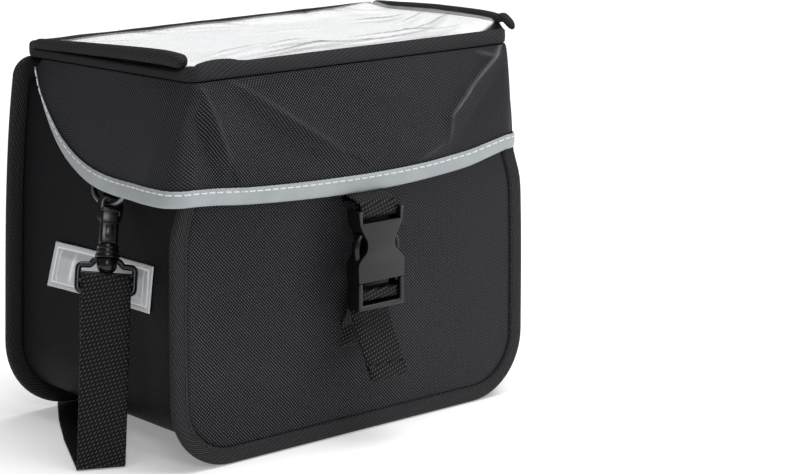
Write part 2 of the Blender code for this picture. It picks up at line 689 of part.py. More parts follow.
def ring_tab(name, side):
    """Webbing folded round the ring's bar and sewn to the gusset under the flap."""
    wrap = RING_WIRE / 2 + GAP + TAB_THICK / 2
    top = RING_BAR_Z + TAB_LENGTH
    middle = mix(RING_BAR_Z, top, 0.45)
    high, waist = (side_wall_x(RING_CENTRE + WEBBING / 2, z) + 3 * GAP + TAB_THICK / 2 for z in (top, middle))
    layer = TAB_THICK + GAP
    points = [(high, top), (waist, middle),
              (RING_BAR_X - wrap, RING_BAR_Z + wrap * 0.5), (RING_BAR_X - wrap * 0.8, RING_BAR_Z - wrap),
              (RING_BAR_X + wrap * 0.8, RING_BAR_Z - wrap), (RING_BAR_X + wrap, RING_BAR_Z + wrap * 0.5),
              (waist + layer, middle), (high + layer, top)]
    line = rounded([(side * x, RING_CENTRE, z) for x, z in points], 1.4 * MM, 3)
    return ribbon(name, line, (0, 1, 0), WEBBING, TAB_THICK, WEBBING_WEAVE)


def hook_matrix(side, drop):
    """A frame on the hook's leaning axis, at a distance below the ring's wire; its X runs along the strap bar."""
    along = -Vector(HOOK_LEAN).normalized()
    run = Vector((STRAP_ROUTE[0][0] - FOLD_POINT[0], STRAP_ROUTE[0][1] - FOLD_POINT[1], 0.0)).normalized()
    width = Vector((run.y, -run.x, 0.0))
    width = (width - along * width.dot(along)).normalized()
    depth = along.cross(width)
    wire = HOOK_POINT
    origin = Vector((-wire[0], wire[1], wire[2])) - along * drop
    turned = Matrix((width, depth, along)).transposed().to_4x4()
    turned.translation = origin
    if side > 0:
        turned = Matrix.Diagonal((-1.0, 1.0, 1.0, 1.0)) @ turned @ Matrix.Diagonal((-1.0, 1.0, 1.0, 1.0))
    return turned


def drum(name, radius, height, centre, material):
    """An upright cylinder."""
    shape = bmesh.new()
    bmesh.ops.create_cone(shape, cap_ends=True, segments=ROUND_SIDES, radius1=radius, radius2=radius,
                          depth=height, matrix=Matrix.Translation(centre))
    return place(name, mesh_from(shape, name), material)


def snap_hook(name, side):
    """A swivel hook whose eye holds the ring: eye, barrel, collar and headed pin, on its own axis."""
    eye_low = EYE_TOP - EYE_HEIGHT
    opening = EYE_HEIGHT - 2 * EYE_WALL
    body = block(name, (HOOK_WIDTH, HOOK_THICK, EYE_HEIGHT), (0.0, 0.0, 0.0), MOULDED_PLASTIC)
    body.data.transform(Matrix.Translation((0.0, 0.0, EYE_TOP - EYE_HEIGHT / 2)))
    round_off = body.modifiers.new("edges", "BEVEL")
    round_off.width = 1.6 * MM
    round_off.segments = 2
    pieces = [(cut, block(name + "_eye", (HOOK_WIDTH - 2 * EYE_WALL, HOOK_THICK * 2, opening),
                          (0.0, 0.0, EYE_TOP - EYE_WALL - opening / 2), MOULDED_PLASTIC)),
              (fuse, block(name + "_barrel", (BARREL_WIDTH, HOOK_THICK, BARREL_LENGTH + EYE_WALL),
                           (0.0, 0.0, eye_low - (BARREL_LENGTH - EYE_WALL) / 2), MOULDED_PLASTIC)),
              (fuse, drum(name + "_collar", COLLAR_RADIUS, COLLAR_HEIGHT,
                          (0.0, 0.0, COLLAR_LOW + COLLAR_HEIGHT / 2), MOULDED_PLASTIC)),
              (fuse, drum(name + "_pin", PIN_RADIUS, PIN_LENGTH,
                          (0.0, 0.0, COLLAR_LOW - PIN_LENGTH / 2 + GAP), MOULDED_PLASTIC)),
              (fuse, drum(name + "_head", PIN_RADIUS * 1.6, PIN_HEAD,
                          (0.0, 0.0, COLLAR_LOW - PIN_LENGTH - PIN_HEAD / 2 + 2 * GAP), MOULDED_PLASTIC))]
    turned = hook_matrix(side, 0.0)
    body.matrix_basis = turned
    for step, other in pieces:
        other.matrix_basis = turned @ other.matrix_basis
        step(body, other)
    return body


def strap_frame(name, side):
    """The rectangular loop under the hook: a boss for its pin, two arms and the bar that holds the strap."""
    body = block(name, (FRAME_WIDTH, 2 * FRAME_WIRE, FRAME_HEIGHT), (0.0, 0.0, 0.0), MOULDED_PLASTIC)
    body.data.transform(Matrix.Translation((0.0, 0.0, FRAME_TOP - FRAME_HEIGHT / 2)))
    round_off = body.modifiers.new("edges", "BEVEL")
    round_off.width = 1.6 * MM
    round_off.segments = 2
    opening = (FRAME_WIDTH - 4 * FRAME_WIRE, FRAME_WIRE * 4, FRAME_HEIGHT - 2 * FRAME_WIRE)
    pieces = [(cut, block(name + "_opening", opening,
                          (0.0, 0.0, FRAME_TOP - 2 * FRAME_WIRE - opening[2] / 2), MOULDED_PLASTIC)),
              (fuse, block(name + "_bar", (FRAME_WIDTH - 2 * FRAME_WIRE, 2 * FRAME_WIRE, 2 * FRAME_WIRE),
                           (0.0, 0.0, FRAME_TOP - FRAME_BAR_DROP), MOULDED_PLASTIC, FRAME_WIRE / 2)),
              (fuse, drum(name + "_boss", COLLAR_RADIUS * 0.85, BOSS_HEIGHT,
                          (0.0, 0.0, FRAME_TOP - 2 * FRAME_WIRE + BOSS_HEIGHT / 2), MOULDED_PLASTIC)),
              (cut, drum(name + "_hole", PIN_RADIUS + GAP, BOSS_HEIGHT * 3,
                         (0.0, 0.0, FRAME_TOP), MOULDED_PLASTIC))]
    turned = hook_matrix(side, 0.0)
    body.matrix_basis = turned
    for step, other in pieces:
        other.matrix_basis = turned @ other.matrix_basis
        step(body, other)
    return body


def smooth_route(points, steps):
    """A smooth line through the points, from the first to the last."""
    line = [Vector(points[0]) * 2 - Vector(points[1])] + [Vector(point) for point in points]
    line.append(Vector(points[-2]) * Vector((-1, 1)))
    made = []
    for before, start, end, after in zip(line, line[1:], line[2:], line[3:]):
        for step in range(steps):
            share = step / steps
            made.append(0.5 * (2 * start + (end - before) * share
                               + (2 * before - 5 * start + 4 * end - after) * share ** 2
                               + (3 * start - before - 3 * end + after) * share ** 3))
    return made + [Vector(points[-1])]


def strap_rings(points, widths):
    """Four corners of the strap at each point."""
    rings = []
    for index, (point, across) in enumerate(zip(points, widths)):
        before = points[max(index - 1, 0)]
        after = points[min(index + 1, len(points) - 1)]
        normal = (after - before).cross(across).normalized() * STRAP_THICK / 2
        half = across.normalized() * WEBBING / 2
        rings.append([point + half + normal, point - half + normal, point - half - normal, point + half - normal])
    return rings


def shoulder_strap():
    """One length of webbing: round each hook's frame, down to a fold on the floor and round behind the bag."""
    turned = hook_matrix(-1, 0.0)
    bar = turned @ Vector((0.0, 0.0, FRAME_TOP - FRAME_BAR_DROP))
    across, depth, along = (turned.to_3x3().col[index] for index in range(3))
    wrap = FRAME_WIRE + 2 * GAP + STRAP_THICK / 2
    run = Vector((STRAP_ROUTE[0][0] - FOLD_POINT[0], STRAP_ROUTE[0][1] - FOLD_POINT[1], 0.0)).normalized()
    floor_across = Vector((run.y, -run.x, 0.0))
    fold = Vector((*FOLD_POINT, STRAP_THICK / 2))
    rise = (bar - depth * wrap - fold).normalized()
    sewn = bar + depth * (wrap - 2 * GAP) - rise * STRAP_RETURN
    sewn -= depth * (sewn - (fold + rise * (sewn - fold).dot(rise))).dot(depth)
    sewn += depth * (STRAP_THICK + GAP)
    loop = [sewn, bar + depth * wrap - along * wrap * 2.2, bar + depth * wrap, bar + depth * wrap + along * wrap,
            bar - depth * wrap + along * wrap, bar - depth * wrap, fold]
    end = Vector((*STRAP_ROUTE[0], STRAP_THICK / 2))
    upper = rounded([*loop, end], FOLD_RADIUS)[:-1]
    widths = []
    for point in upper:
        share = min(max((bar.z - point.z) / bar.z, 0.0), 1.0)
        widths.append(across.lerp(floor_across, share))
    floor_line = smooth_route(STRAP_ROUTE, 5)
    for index, spot in enumerate(floor_line):
        before = floor_line[max(index - 1, 0)]
        after = floor_line[min(index + 1, len(floor_line) - 1)]
        heading = (after - before).normalized() if index + 1 < len(floor_line) else Vector((1.0, 0.0))
        upper.append(Vector((spot.x, spot.y, STRAP_THICK / 2)))
        widths.append(Vector((heading.y, -heading.x, 0.0)))
    left = strap_rings(upper, widths)
    right = [[Vector((-corner.x, corner.y, corner.z)) for corner in ring] for ring in reversed(left[:-1])]
    return loft("shoulder_strap", left + right, WEBBING_WEAVE)


def receiver():
    """The plain receiver for a handlebar bracket, standing on the leaning back panel."""
    sunk = (BINDING_THICK - PANEL_THICK) / 2
    lean = math.atan2(BACK_LEAN, BACK.height)
    off = RECEIVER_THICK / 2 + GAP
    y = back_face(RECEIVER_MIDDLE, sunk) + off * math.cos(lean)
    z = RECEIVER_MIDDLE + off * math.sin(lean)
    made = block("adapter_plate", (RECEIVER_WIDTH, RECEIVER_THICK, RECEIVER_HEIGHT), (0.0, y, z),
                 MOULDED_PLASTIC, 2 * MM)
    made.rotation_euler = (lean, 0.0, 0.0)
    return made


for old in list(bpy.data.objects):
    bpy.data.objects.remove(old)
BAG = bpy.data.collections.new("handlebar_bag")
CUTTERS = bpy.data.collections.new("cutters")
bpy.context.scene.collection.children.link(BAG)
bpy.context.scene.collection.children.link(CUTTERS)
CARRIER = bpy.data.objects.new("bag_origin", None)
BAG.objects.link(CARRIER)

POLYESTER = finish("black polyester cloth", (0.018, 0.018, 0.02), 0.85)
BINDING_TAPE = finish("black twill tape", (0.014, 0.014, 0.015), 0.9)
WEBBING_WEAVE = finish("black webbing", (0.012, 0.012, 0.013), 0.8)
MOULDED_PLASTIC = finish("black acetal", (0.02, 0.02, 0.021), 0.4)
REFLECTIVE_TAPE = finish("grey reflective tape", (0.4, 0.42, 0.44), 0.45)
REFLECTIVE_VINYL = finish("grey reflective vinyl", (0.5, 0.52, 0.54), 0.35)
CLEAR_VINYL = finish("clear vinyl film", (0.85, 0.86, 0.87), 0.15)
WHITE_SHEET = finish("white foam sheet", (0.85, 0.85, 0.85), 0.8)
STEEL_WIRE = finish("nickel plated steel", (0.5, 0.5, 0.5), 0.35, 1.0)

GUSSET_TOP = BACK.height - GUSSET_TOP_DROP
PANEL_FACE = front_face(0.0, (BINDING_THICK - PANEL_THICK) / 2)
LID_FRONT_Y = front_face(0.0, 0.0) - LID_FRONT_OVERHANG
LID_BACK_Y = back_face(BACK.height, 0.0) - LID_BACK_SETBACK
RIM_TOP = RIM_BOTTOM + RIM_HEIGHT
RIM_SIDE_TOP = RIM_BOTTOM + RIM_SIDE_HEIGHT
LID_TOP = RIM_SIDE_TOP
SHEET_TOP = LID_TOP + GAP + SHEET_THICK
HEM_MIDDLE = RIM_BOTTOM - GAP - SKIRT_DROP
BUCKLE_Y = front_face(0.0, 0.0) - BUCKLE_FRONT + BUCKLE_THICK / 2
SOCKET_TOP = SOCKET_BOTTOM + SOCKET_LENGTH
SLOT_HEIGHT = BAR_THICK + 2 * (STRAP_THICK + GAP)
POCKET_WIDTH = BUCKLE_WIDTH - 2 * SOCKET_WALL
POCKET_THICK = BUCKLE_THICK - 2 * SOCKET_WALL
POCKET_HEIGHT = SOCKET_LENGTH * 0.68
PRONG_WIDTH = 4 * MM
PLUG_WINDOW = PLUG_LENGTH - 2 * PLUG_RIM
PLUG_WINDOW_MIDDLE = SOCKET_BOTTOM - GAP - PLUG_LENGTH / 2
PLUG_BAR_Z = PLUG_WINDOW_MIDDLE
RING_BAR_X = (side_wall_x(RING_CENTRE + WEBBING / 2 + RING_WIRE, RING_BAR_Z - RING_DROP / 2)
              + 2 * GAP + TAB_THICK + RING_WIRE / 2)
HOOK_RING = min(ring_line()[5:], key=lambda point: abs(point[1] - RING_CENTRE - HOOK_ALONG))
HOOK_POINT = (HOOK_RING[0], HOOK_RING[1], HOOK_RING[2])
EYE_TOP = RING_WIRE / 2 + 3 * GAP + EYE_WALL
COLLAR_LOW = EYE_TOP - EYE_HEIGHT - BARREL_LENGTH - COLLAR_HEIGHT
BOSS_HEIGHT = 2 * FRAME_WIRE + 1.5 * MM
FRAME_TOP = COLLAR_LOW - GAP - BOSS_HEIGHT + 2 * FRAME_WIRE
PIN_LENGTH = BOSS_HEIGHT + 3 * GAP

flat_panel("back_panel", BACK, back_face, POLYESTER)
edge_binding("back_binding", BACK, back_face, BINDING_TAPE)
flat_panel("front_panel", FRONT, front_face, POLYESTER)
edge_binding("front_binding", FRONT, front_face, BINDING_TAPE)
gusset()
lid_plate("lid_panel", RIM_WIDTH + GAP, LID_TOP - LID_THICK, LID_THICK, POLYESTER)
lid_rim()
lid_plate("map_sheet", FILM_ROLL_WIDTH + GAP, LID_TOP + GAP, SHEET_THICK, WHITE_SHEET)
map_film()
lid_skirt()
hem_trim()
buckle_socket()
buckle_plug()
flap_strap()
panel_strap()
for label, hand in (("left", -1), ("right", 1)):
    film_roll(f"film_binding_{label}", hand)
    side_patch(f"side_reflector_{label}", hand)
    d_ring(f"d_ring_{label}", hand)
    ring_tab(f"ring_tab_{label}", hand)
    snap_hook(f"snap_hook_{label}", hand)
    strap_frame(f"strap_frame_{label}", hand)
shoulder_strap()
receiver()
FRONTMOST = front_face(0.0, 0.0) - TAIL_REACH - STRAP_THICK / 2
BACKMOST = STRAP_ROUTE[-1][1] + WEBBING / 2
CARRIER.location.y = -(FRONTMOST + BACKMOST) / 2
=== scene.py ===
"""A bicycle handlebar bag, finished: coated cloth, rolled tape edges, webbing, buckle and map window.

Metres, in the frame of the solids. The bag's shapes are worked out about its middle, then moved by MIDDLE_Y.
"""

import math
from collections import namedtuple

import bmesh
import bpy
from mathutils import Matrix, Vector, noise


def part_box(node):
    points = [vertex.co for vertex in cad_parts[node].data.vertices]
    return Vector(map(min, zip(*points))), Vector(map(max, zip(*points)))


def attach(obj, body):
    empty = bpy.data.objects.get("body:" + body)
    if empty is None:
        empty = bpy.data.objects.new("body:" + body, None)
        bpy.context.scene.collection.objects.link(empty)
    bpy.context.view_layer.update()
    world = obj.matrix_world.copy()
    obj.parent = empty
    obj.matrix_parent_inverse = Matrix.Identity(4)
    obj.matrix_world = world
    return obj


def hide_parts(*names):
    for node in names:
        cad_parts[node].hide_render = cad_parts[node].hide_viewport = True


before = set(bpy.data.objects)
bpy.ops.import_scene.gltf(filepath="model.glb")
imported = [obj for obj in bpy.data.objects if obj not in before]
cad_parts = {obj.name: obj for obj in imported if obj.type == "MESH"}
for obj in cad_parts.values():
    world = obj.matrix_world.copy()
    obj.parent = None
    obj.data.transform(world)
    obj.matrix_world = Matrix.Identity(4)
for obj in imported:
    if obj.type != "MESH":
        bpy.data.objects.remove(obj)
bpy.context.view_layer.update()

MM = 0.001
GAP = 0.3 * MM

# The bag's sizes, as its solids have them
Panel = namedtuple("Panel", "width top_width height radius bottom draw")
EASY_DRAW = ((0.0, 0.0), (0.3, 0.03), (0.5, 0.1), (0.7, 0.3), (0.85, 0.58), (1.0, 1.0))  # rise, draw
TUCKED_DRAW = ((0.0, 0.0), (0.3, 0.03), (0.5, 0.09), (0.63, 0.2), (0.75, 0.66), (0.88, 0.8), (1.0, 1.0))
STRAP_THICK = 1.5 * MM
BACK_WIDTH = 282 * MM
BACK_TOP_WIDTH = 269 * MM
BACK_HEIGHT = 215.7 * MM
FRONT_WIDTH = 260 * MM
FRONT_TOP_WIDTH = 238 * MM
FRONT_HEIGHT = 190 * MM
FRONT_TUCK = 2 * MM
BACK = Panel(BACK_WIDTH, BACK_TOP_WIDTH, BACK_HEIGHT, 46 * MM, STRAP_THICK + GAP, EASY_DRAW)
SIDE_FRONT = Panel(FRONT_WIDTH, FRONT_TOP_WIDTH, FRONT_HEIGHT, 39 * MM, 0.0, EASY_DRAW)
FRONT = SIDE_FRONT._replace(top_width=FRONT_TOP_WIDTH - FRONT_TUCK, draw=TUCKED_DRAW)
BAG_DEPTH = 159 * MM
BACK_LEAN = 14.5 * MM
TOP_RADIUS = 12 * MM
PANEL_THICK = 3 * MM
BINDING_WIDTH = 10 * MM
BINDING_THICK = 5 * MM
WALL = 1.6 * MM
GUSSET_INSET = 9.5 * MM
GUSSET_TOP = BACK.height - 7 * MM
SIDE_PINCH = 3.2 * MM
LID_FRONT_WIDTH = FRONT_TOP_WIDTH - 9 * MM
LID_BACK_WIDTH = BACK_TOP_WIDTH - 12 * MM
LID_RADIUS = 6 * MM
LID_FRONT_Y = -BAG_DEPTH / 2 - 1.3 * MM
LID_BACK_Y = BAG_DEPTH / 2 - BACK_LEAN - 3 * MM
RIM_WIDTH = 4.5 * MM
RIM_HEIGHT = 8.5 * MM
RIM_SIDE_HEIGHT = 4.8 * MM
RIM_STEP = 8 * MM
RIM_BACK_HEIGHT = 9.4 * MM
RIM_BOTTOM = BACK.height + GAP
SKIRT_DROP = 72.5 * MM
SKIRT_FLARE = 19 * MM
SKIRT_FRONT_FLARE = 4.2 * MM
SKIRT_TOP_RADIUS = 5 * MM
SKIRT_HEM_RADIUS = {-1: 15 * MM, 1: 14 * MM}
SKIRT_BACK_SETBACK = 16 * MM
TRIM_WIDTH = 10 * MM
HEM_FRONT = (  # share of the half width, shares of the drop on the left and on the right
    (0.0, 1.0, 1.0), (0.24, 0.99, 0.995), (0.48, 0.97, 0.975), (0.72, 0.94, 0.94), (0.88, 0.91, 0.89),
    (1.0, 0.895, 0.85))
HEM_SIDE = (  # share of the side from the front, shares of the drop on the left and on the right
    (0.0, 0.895, 0.85), (0.17, 0.9, 0.88), (0.36, 0.903, 0.895), (0.55, 0.86, 0.86), (0.7, 0.76, 0.76),
    (0.82, 0.615, 0.615), (0.91, 0.42, 0.42), (0.97, 0.22, 0.22), (1.0, 0.06, 0.06))
FLARE_SIDE = (  # share of the side from the front, shares of the flare on the left and on the right
    (0.0, 1.0, 0.35), (0.3, 0.64, 0.5), (0.45, 0.57, 0.57), (1.0, 0.2, 0.2))
FLARE_BOW = {-1: 1.0, 1: 0.6}
WEBBING = 27 * MM
BUCKLE_WIDTH = 33 * MM
BUCKLE_THICK = 11 * MM
BUCKLE_Y = -BAG_DEPTH / 2 - 20.7 * MM + BUCKLE_THICK / 2
SOCKET_LENGTH = 41 * MM
SOCKET_BOTTOM = 94.5 * MM
SOCKET_TOP = SOCKET_BOTTOM + SOCKET_LENGTH
PLUG_LENGTH = 16 * MM
PLUG_RIM = 3.2 * MM
PLUG_BAR_Z = SOCKET_BOTTOM - GAP - PLUG_LENGTH / 2
BAR_THICK = 3.6 * MM

MIDDLE_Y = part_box("front_binding")[0][1] + BAG_DEPTH / 2


def mix(first, second, share):
    """The value at a share of the way from the first to the second."""
    return first + (second - first) * share


def smooth(share):
    """A share of 0 to 1 with soft ends, held at 0 and 1 beyond them."""
    share = min(max(share, 0.0), 1.0)
    return share * share * (3 - 2 * share)


def curved(table, share, column=1):
    """One column of a table at a share of the first, along a smooth line through its rows."""
    share = min(max(share, table[0][0]), table[-1][0])
    index = 0
    while index < len(table) - 2 and share > table[index + 1][0]:
        index += 1

    def slope(row):
        low, high = table[max(row - 1, 0)], table[min(row + 1, len(table) - 1)]
        return (high[column] - low[column]) / (high[0] - low[0])

    start, end = table[index], table[index + 1]
    span = end[0] - start[0]
    part = (share - start[0]) / span
    bend_start, bend_end = slope(index) * span, slope(index + 1) * span
    return ((2 * part ** 3 - 3 * part ** 2 + 1) * start[column]
            + (part ** 3 - 2 * part ** 2 + part) * bend_start
            + (3 * part ** 2 - 2 * part ** 3) * end[column]
            + (part ** 3 - part ** 2) * bend_end)


# Finishes

# Spacings of the patterns. Those of the cloth, the tape and the webbing are coarser than real
WEAVE_PITCH = 2.0 * MM
RIB_PITCH = 2.4 * MM
PICK_ROWS = 2.2 * MM
PICK_PITCH = 1.9 * MM
TRIM_WEAVE = 1.1 * MM
PRISM_SIZE = 1.6 * MM
THREAD_TWIST = 0.8 * MM
BLACK = "020203"


def colour(hex_code):
    """An sRGB hex colour as linear red, green, blue and alpha."""
    made = []
    for start in (0, 2, 4):
        value = int(hex_code[start:start + 2], 16) / 255
        made.append(value / 12.92 if value <= 0.04045 else ((value + 0.055) / 1.055) ** 2.4)
    return (*made, 1.0)


def add(tree, kind, inputs=None, **settings):
    """A node with its settings, its values and its links."""
    made = tree.nodes.new(kind)
    for key, value in settings.items():
        setattr(made, key, value)
    for key, value in (inputs or {}).items():
        if isinstance(value, bpy.types.NodeSocket):
            tree.links.new(value, made.inputs[key])
        else:
            made.inputs[key].default_value = value
    return made


def new_finish(name, roughness, metallic=0.0, specular=0.5):
    """A new material with its node tree and its shader."""
    made = bpy.data.materials.new(name)
    made.use_nodes = True
    shader = made.node_tree.nodes["Principled BSDF"]
    shader.inputs["Roughness"].default_value = roughness
    shader.inputs["Metallic"].default_value = metallic
    shader.inputs["Specular IOR Level"].default_value = specular
    return made, made.node_tree, shader


def run(tree, along, across, pitch, slant=0.0):
    """A sine of 0 to 1 across lines of a pitch, slanted by a share of the other direction."""
    leaned = add(tree, "ShaderNodeMath", {0: across, 1: slant, 2: along}, operation="MULTIPLY_ADD")
    turned = add(tree, "ShaderNodeMath", {0: leaned.outputs[0], 1: math.tau / pitch}, operation="MULTIPLY")
    wave = add(tree, "ShaderNodeMath", {0: turned.outputs[0]}, operation="SINE")
    raised = add(tree, "ShaderNodeMath", {0: wave.outputs[0], 1: 0.5, 2: 0.5}, operation="MULTIPLY_ADD")
    return raised.outputs[0]


def surface_place(tree):
    """Metres along and across the piece's own surface, from its UV map."""
    place = add(tree, "ShaderNodeTexCoord")
    parts = add(tree, "ShaderNodeSeparateXYZ", {0: place.outputs["UV"]})
    return place, parts.outputs[0], parts.outputs[1]


def dress(tree, shader, pattern, dark, light, height, strength=1.0):
    """Colour and bump of a woven pattern of 0 to 1."""
    tone = add(tree, "ShaderNodeMix", {0: pattern, 6: colour(dark), 7: colour(light)}, data_type="RGBA")
    tree.links.new(tone.outputs[2], shader.inputs["Base Color"])
    bump = add(tree, "ShaderNodeBump", {"Strength": strength, "Distance": height, "Height": pattern})
    tree.links.new(bump.outputs["Normal"], shader.inputs["Normal"])


def marks_with_painted_light(tree):
    """The piece's own line marks of 0 to 1: ridges, rubbed and with a painted highlight; painted shade along
    film creases; weld lines, and a painted highlight on the vinyl's blister.
    """
    return add(tree, "ShaderNodeAttribute", attribute_name="mark").outputs["Fac"]


def coated_polyester(name, light, specular):
    """600 denier plain weave with a coated back: black, fine bright dots in slanting rows where yarns cross.

    The yarns are 0.5 mm apart, too fine for the render, so the dots are drawn 2 mm apart. They fade round
    the bag's left corner and to the right, as in the photo. A sharp ridge is painted as a grey line: rubbed
    wear and a painted highlight.
    """
    made, tree, shader = new_finish(name, 0.55, specular=specular)
    place, along, across = surface_place(tree)
    warp = run(tree, along, across, WEAVE_PITCH, 0.95)
    weft = run(tree, along, across, WEAVE_PITCH, -0.95)
    crossing = add(tree, "ShaderNodeMath", {0: warp, 1: weft}, operation="MULTIPLY")
    patches = add(tree, "ShaderNodeTexNoise", {"Vector": place.outputs["Object"], "Scale": 14.0,
                                               "Detail": 2.0})
    lines = add(tree, "ShaderNodeMapRange", {0: patches.outputs[0], 1: 0.45, 2: 0.65, 3: 0.0, 4: 0.35})
    ridges = add(tree, "ShaderNodeMath", {0: warp, 1: 2.0}, operation="POWER")
    proud = add(tree, "ShaderNodeMix", {0: lines.outputs[0], 2: crossing.outputs[0], 3: ridges.outputs[0]})
    points = add(tree, "ShaderNodeMath", {0: proud.outputs[0], 1: 2.2}, operation="POWER")
    sideways = add(tree, "ShaderNodeSeparateXYZ", {0: place.outputs["Object"]}).outputs[0]
    left = add(tree, "ShaderNodeMapRange", {0: sideways, 1: -124 * MM, 2: -112 * MM, 3: 0.4, 4: 1.0})
    right = add(tree, "ShaderNodeMapRange", {0: sideways, 1: 0.0, 2: 90 * MM, 3: 1.0, 4: 0.35})
    clear = add(tree, "ShaderNodeMath", {0: left.outputs[0], 1: right.outputs[0]}, operation="MULTIPLY")
    dots = add(tree, "ShaderNodeMix", {0: clear.outputs[0], 2: 0.1, 3: points.outputs[0]}).outputs[0]
    tone = add(tree, "ShaderNodeMix", {0: dots, 6: colour(BLACK), 7: colour(light)}, data_type="RGBA")
    # Ridges are painted grey: rubbed wear and a painted highlight
    rubbed_and_highlight_tone = add(tree, "ShaderNodeMix", {0: marks_with_painted_light(tree), 6: tone.outputs[2], 7: colour("808084")},
                      data_type="RGBA")
    tree.links.new(rubbed_and_highlight_tone.outputs[2], shader.inputs["Base Color"])
    bump = add(tree, "ShaderNodeBump", {"Strength": 1.0, "Distance": 0.45 * MM, "Height": dots})
    tree.links.new(bump.outputs["Normal"], shader.inputs["Normal"])
    return made


def twill_tape():
    """Polyester herringbone tape: black, matt, with steep ribs that turn at the folded edge.

    The ribs are drawn 2.4 mm apart, coarser than real, because finer ones blur to an even grey.
    """
    made, tree, shader = new_finish("black herringbone tape", 0.6, specular=0.18)
    _, along, across = surface_place(tree)
    folded = add(tree, "ShaderNodeMath", {0: across, 1: 0.0}, operation="ABSOLUTE")
    rib = run(tree, along, folded.outputs[0], RIB_PITCH, 1.9)
    tick = run(tree, folded.outputs[0], along, RIB_PITCH, 0.5)
    broken = add(tree, "ShaderNodeMath", {0: tick, 1: 0.5, 2: 0.5}, operation="MULTIPLY_ADD")
    narrow = add(tree, "ShaderNodeMath", {0: rib, 1: 1.6}, operation="POWER")
    ribbed = add(tree, "ShaderNodeMath", {0: narrow.outputs[0], 1: broken.outputs[0]}, operation="MULTIPLY")
    dress(tree, shader, ribbed.outputs[0], BLACK, "4a4a4e", 0.5 * MM)
    return made


def webbing_weave():
    """Woven polypropylene webbing: black, with rows of short slanting bright picks.

    The rows are drawn 2.2 mm apart, coarser than real, because finer ones blur to an even grey.
    """
    made, tree, shader = new_finish("black woven webbing", 0.5, specular=0.15)
    _, along, across = surface_place(tree)
    row = run(tree, along, across, PICK_ROWS, 0.25)
    dot = run(tree, across, along, PICK_PITCH, 0.6)
    crossing = add(tree, "ShaderNodeMath", {0: row, 1: dot}, operation="MULTIPLY")
    picks = add(tree, "ShaderNodeMath", {0: crossing.outputs[0], 1: 3.0}, operation="POWER")
    dress(tree, shader, picks.outputs[0], BLACK, "66666b", 0.45 * MM)
    return made


def moulded_acetal():
    """Moulded acetal with a fine spark-eroded grain: satin black with soft highlights on its edges."""
    made, tree, shader = new_finish("satin black acetal", 0.25, specular=0.4)
    place = add(tree, "ShaderNodeTexCoord")
    grain = add(tree, "ShaderNodeTexNoise", {"Vector": place.outputs["Object"], "Scale": 1400.0,
                                               "Detail": 2.0})
    tone = add(tree, "ShaderNodeMix", {0: grain.outputs[0], 6: colour("060607"), 7: colour("0e0e10")},
               data_type="RGBA")
    tree.links.new(tone.outputs[2], shader.inputs["Base Color"])
    bump = add(tree, "ShaderNodeBump", {"Strength": 0.15, "Distance": 0.1 * MM, "Height": grain.outputs[0]})
    tree.links.new(bump.outputs["Normal"], shader.inputs["Normal"])
    return made


def reflective_tape():
    """Grey retroreflective tape: matt silver grey with a fine cross weave."""
    made, tree, shader = new_finish("grey reflective tape", 0.5, specular=0.45)
    place, along, across = surface_place(tree)
    weave = run(tree, along, across, TRIM_WEAVE, 0.6)
    cloud = add(tree, "ShaderNodeTexNoise", {"Vector": place.outputs["Object"], "Scale": 60.0, "Detail": 2.0})
    mixed = add(tree, "ShaderNodeMath", {0: weave, 1: 0.3, 2: cloud.outputs[0]}, operation="MULTIPLY_ADD")
    dress(tree, shader, mixed.outputs[0], "8b9094", "a3a8ab", 0.06 * MM, 0.3)
    return made


def reflective_vinyl():
    """Welded prismatic vinyl: translucent grey and glossy, with paler weld lines, rubbed streaks and a
    painted highlight on its blister.
    """
    made, tree, shader = new_finish("prismatic reflective vinyl", 0.25, specular=0.5)
    place = add(tree, "ShaderNodeTexCoord")
    cells = add(tree, "ShaderNodeTexVoronoi", {"Vector": place.outputs["UV"], "Scale": 1 / PRISM_SIZE},
                feature="DISTANCE_TO_EDGE")
    speckle = add(tree, "ShaderNodeMix", {0: cells.outputs[0], 6: colour("a9aeb2"), 7: colour("bfc3c6")},
                  data_type="RGBA")
    # Paler weld lines, and a painted highlight on the blister
    welds_and_blister_highlight = add(tree, "ShaderNodeMix", {0: marks_with_painted_light(tree), 6: speckle.outputs[2], 7: colour("fbfcfc")},
                 data_type="RGBA")
    tree.links.new(welds_and_blister_highlight.outputs[2], shader.inputs["Base Color"])
    shader.inputs["Coat Weight"].default_value = 0.5
    shader.inputs["Coat Roughness"].default_value = 0.12
    return made


def clear_vinyl():
    """Clear soft vinyl film, 0.3 mm: colourless and glossy, with painted grey shade at creases, black over
    the bare corner.
    """
    made, tree, shader = new_finish("clear vinyl film", 0.12, specular=0.6)
    crease_shade_and_bare_corner = marks_with_painted_light(tree)
    # Creases are painted grey as shade, and made less clear
    tone = add(tree, "ShaderNodeMix", {0: crease_shade_and_bare_corner, 6: colour("fbfcfd"), 7: colour("1c1d1f")},
               data_type="RGBA")
    tree.links.new(tone.outputs[2], shader.inputs["Base Color"])
    cover = add(tree, "ShaderNodeMapRange", {0: crease_shade_and_bare_corner, 1: 0.0, 2: 1.0, 3: 0.22, 4: 0.97})
    tree.links.new(cover.outputs[0], shader.inputs["Alpha"])
    shader.inputs["Coat Weight"].default_value = 0.4
    shader.inputs["Coat Roughness"].default_value = 0.08
    place = add(tree, "ShaderNodeTexCoord")
    stretch = add(tree, "ShaderNodeMapping", {"Vector": place.outputs["Object"], "Scale": (1.0, 3.0, 1.0)})
    ripple = add(tree, "ShaderNodeTexNoise", {"Vector": stretch.outputs[0], "Scale": 24.0, "Detail": 2.0})
    bump = add(tree, "ShaderNodeBump", {"Strength": 0.4, "Distance": 1.5 * MM, "Height": ripple.outputs[0]})
    tree.links.new(bump.outputs["Normal"], shader.inputs["Normal"])
    return made


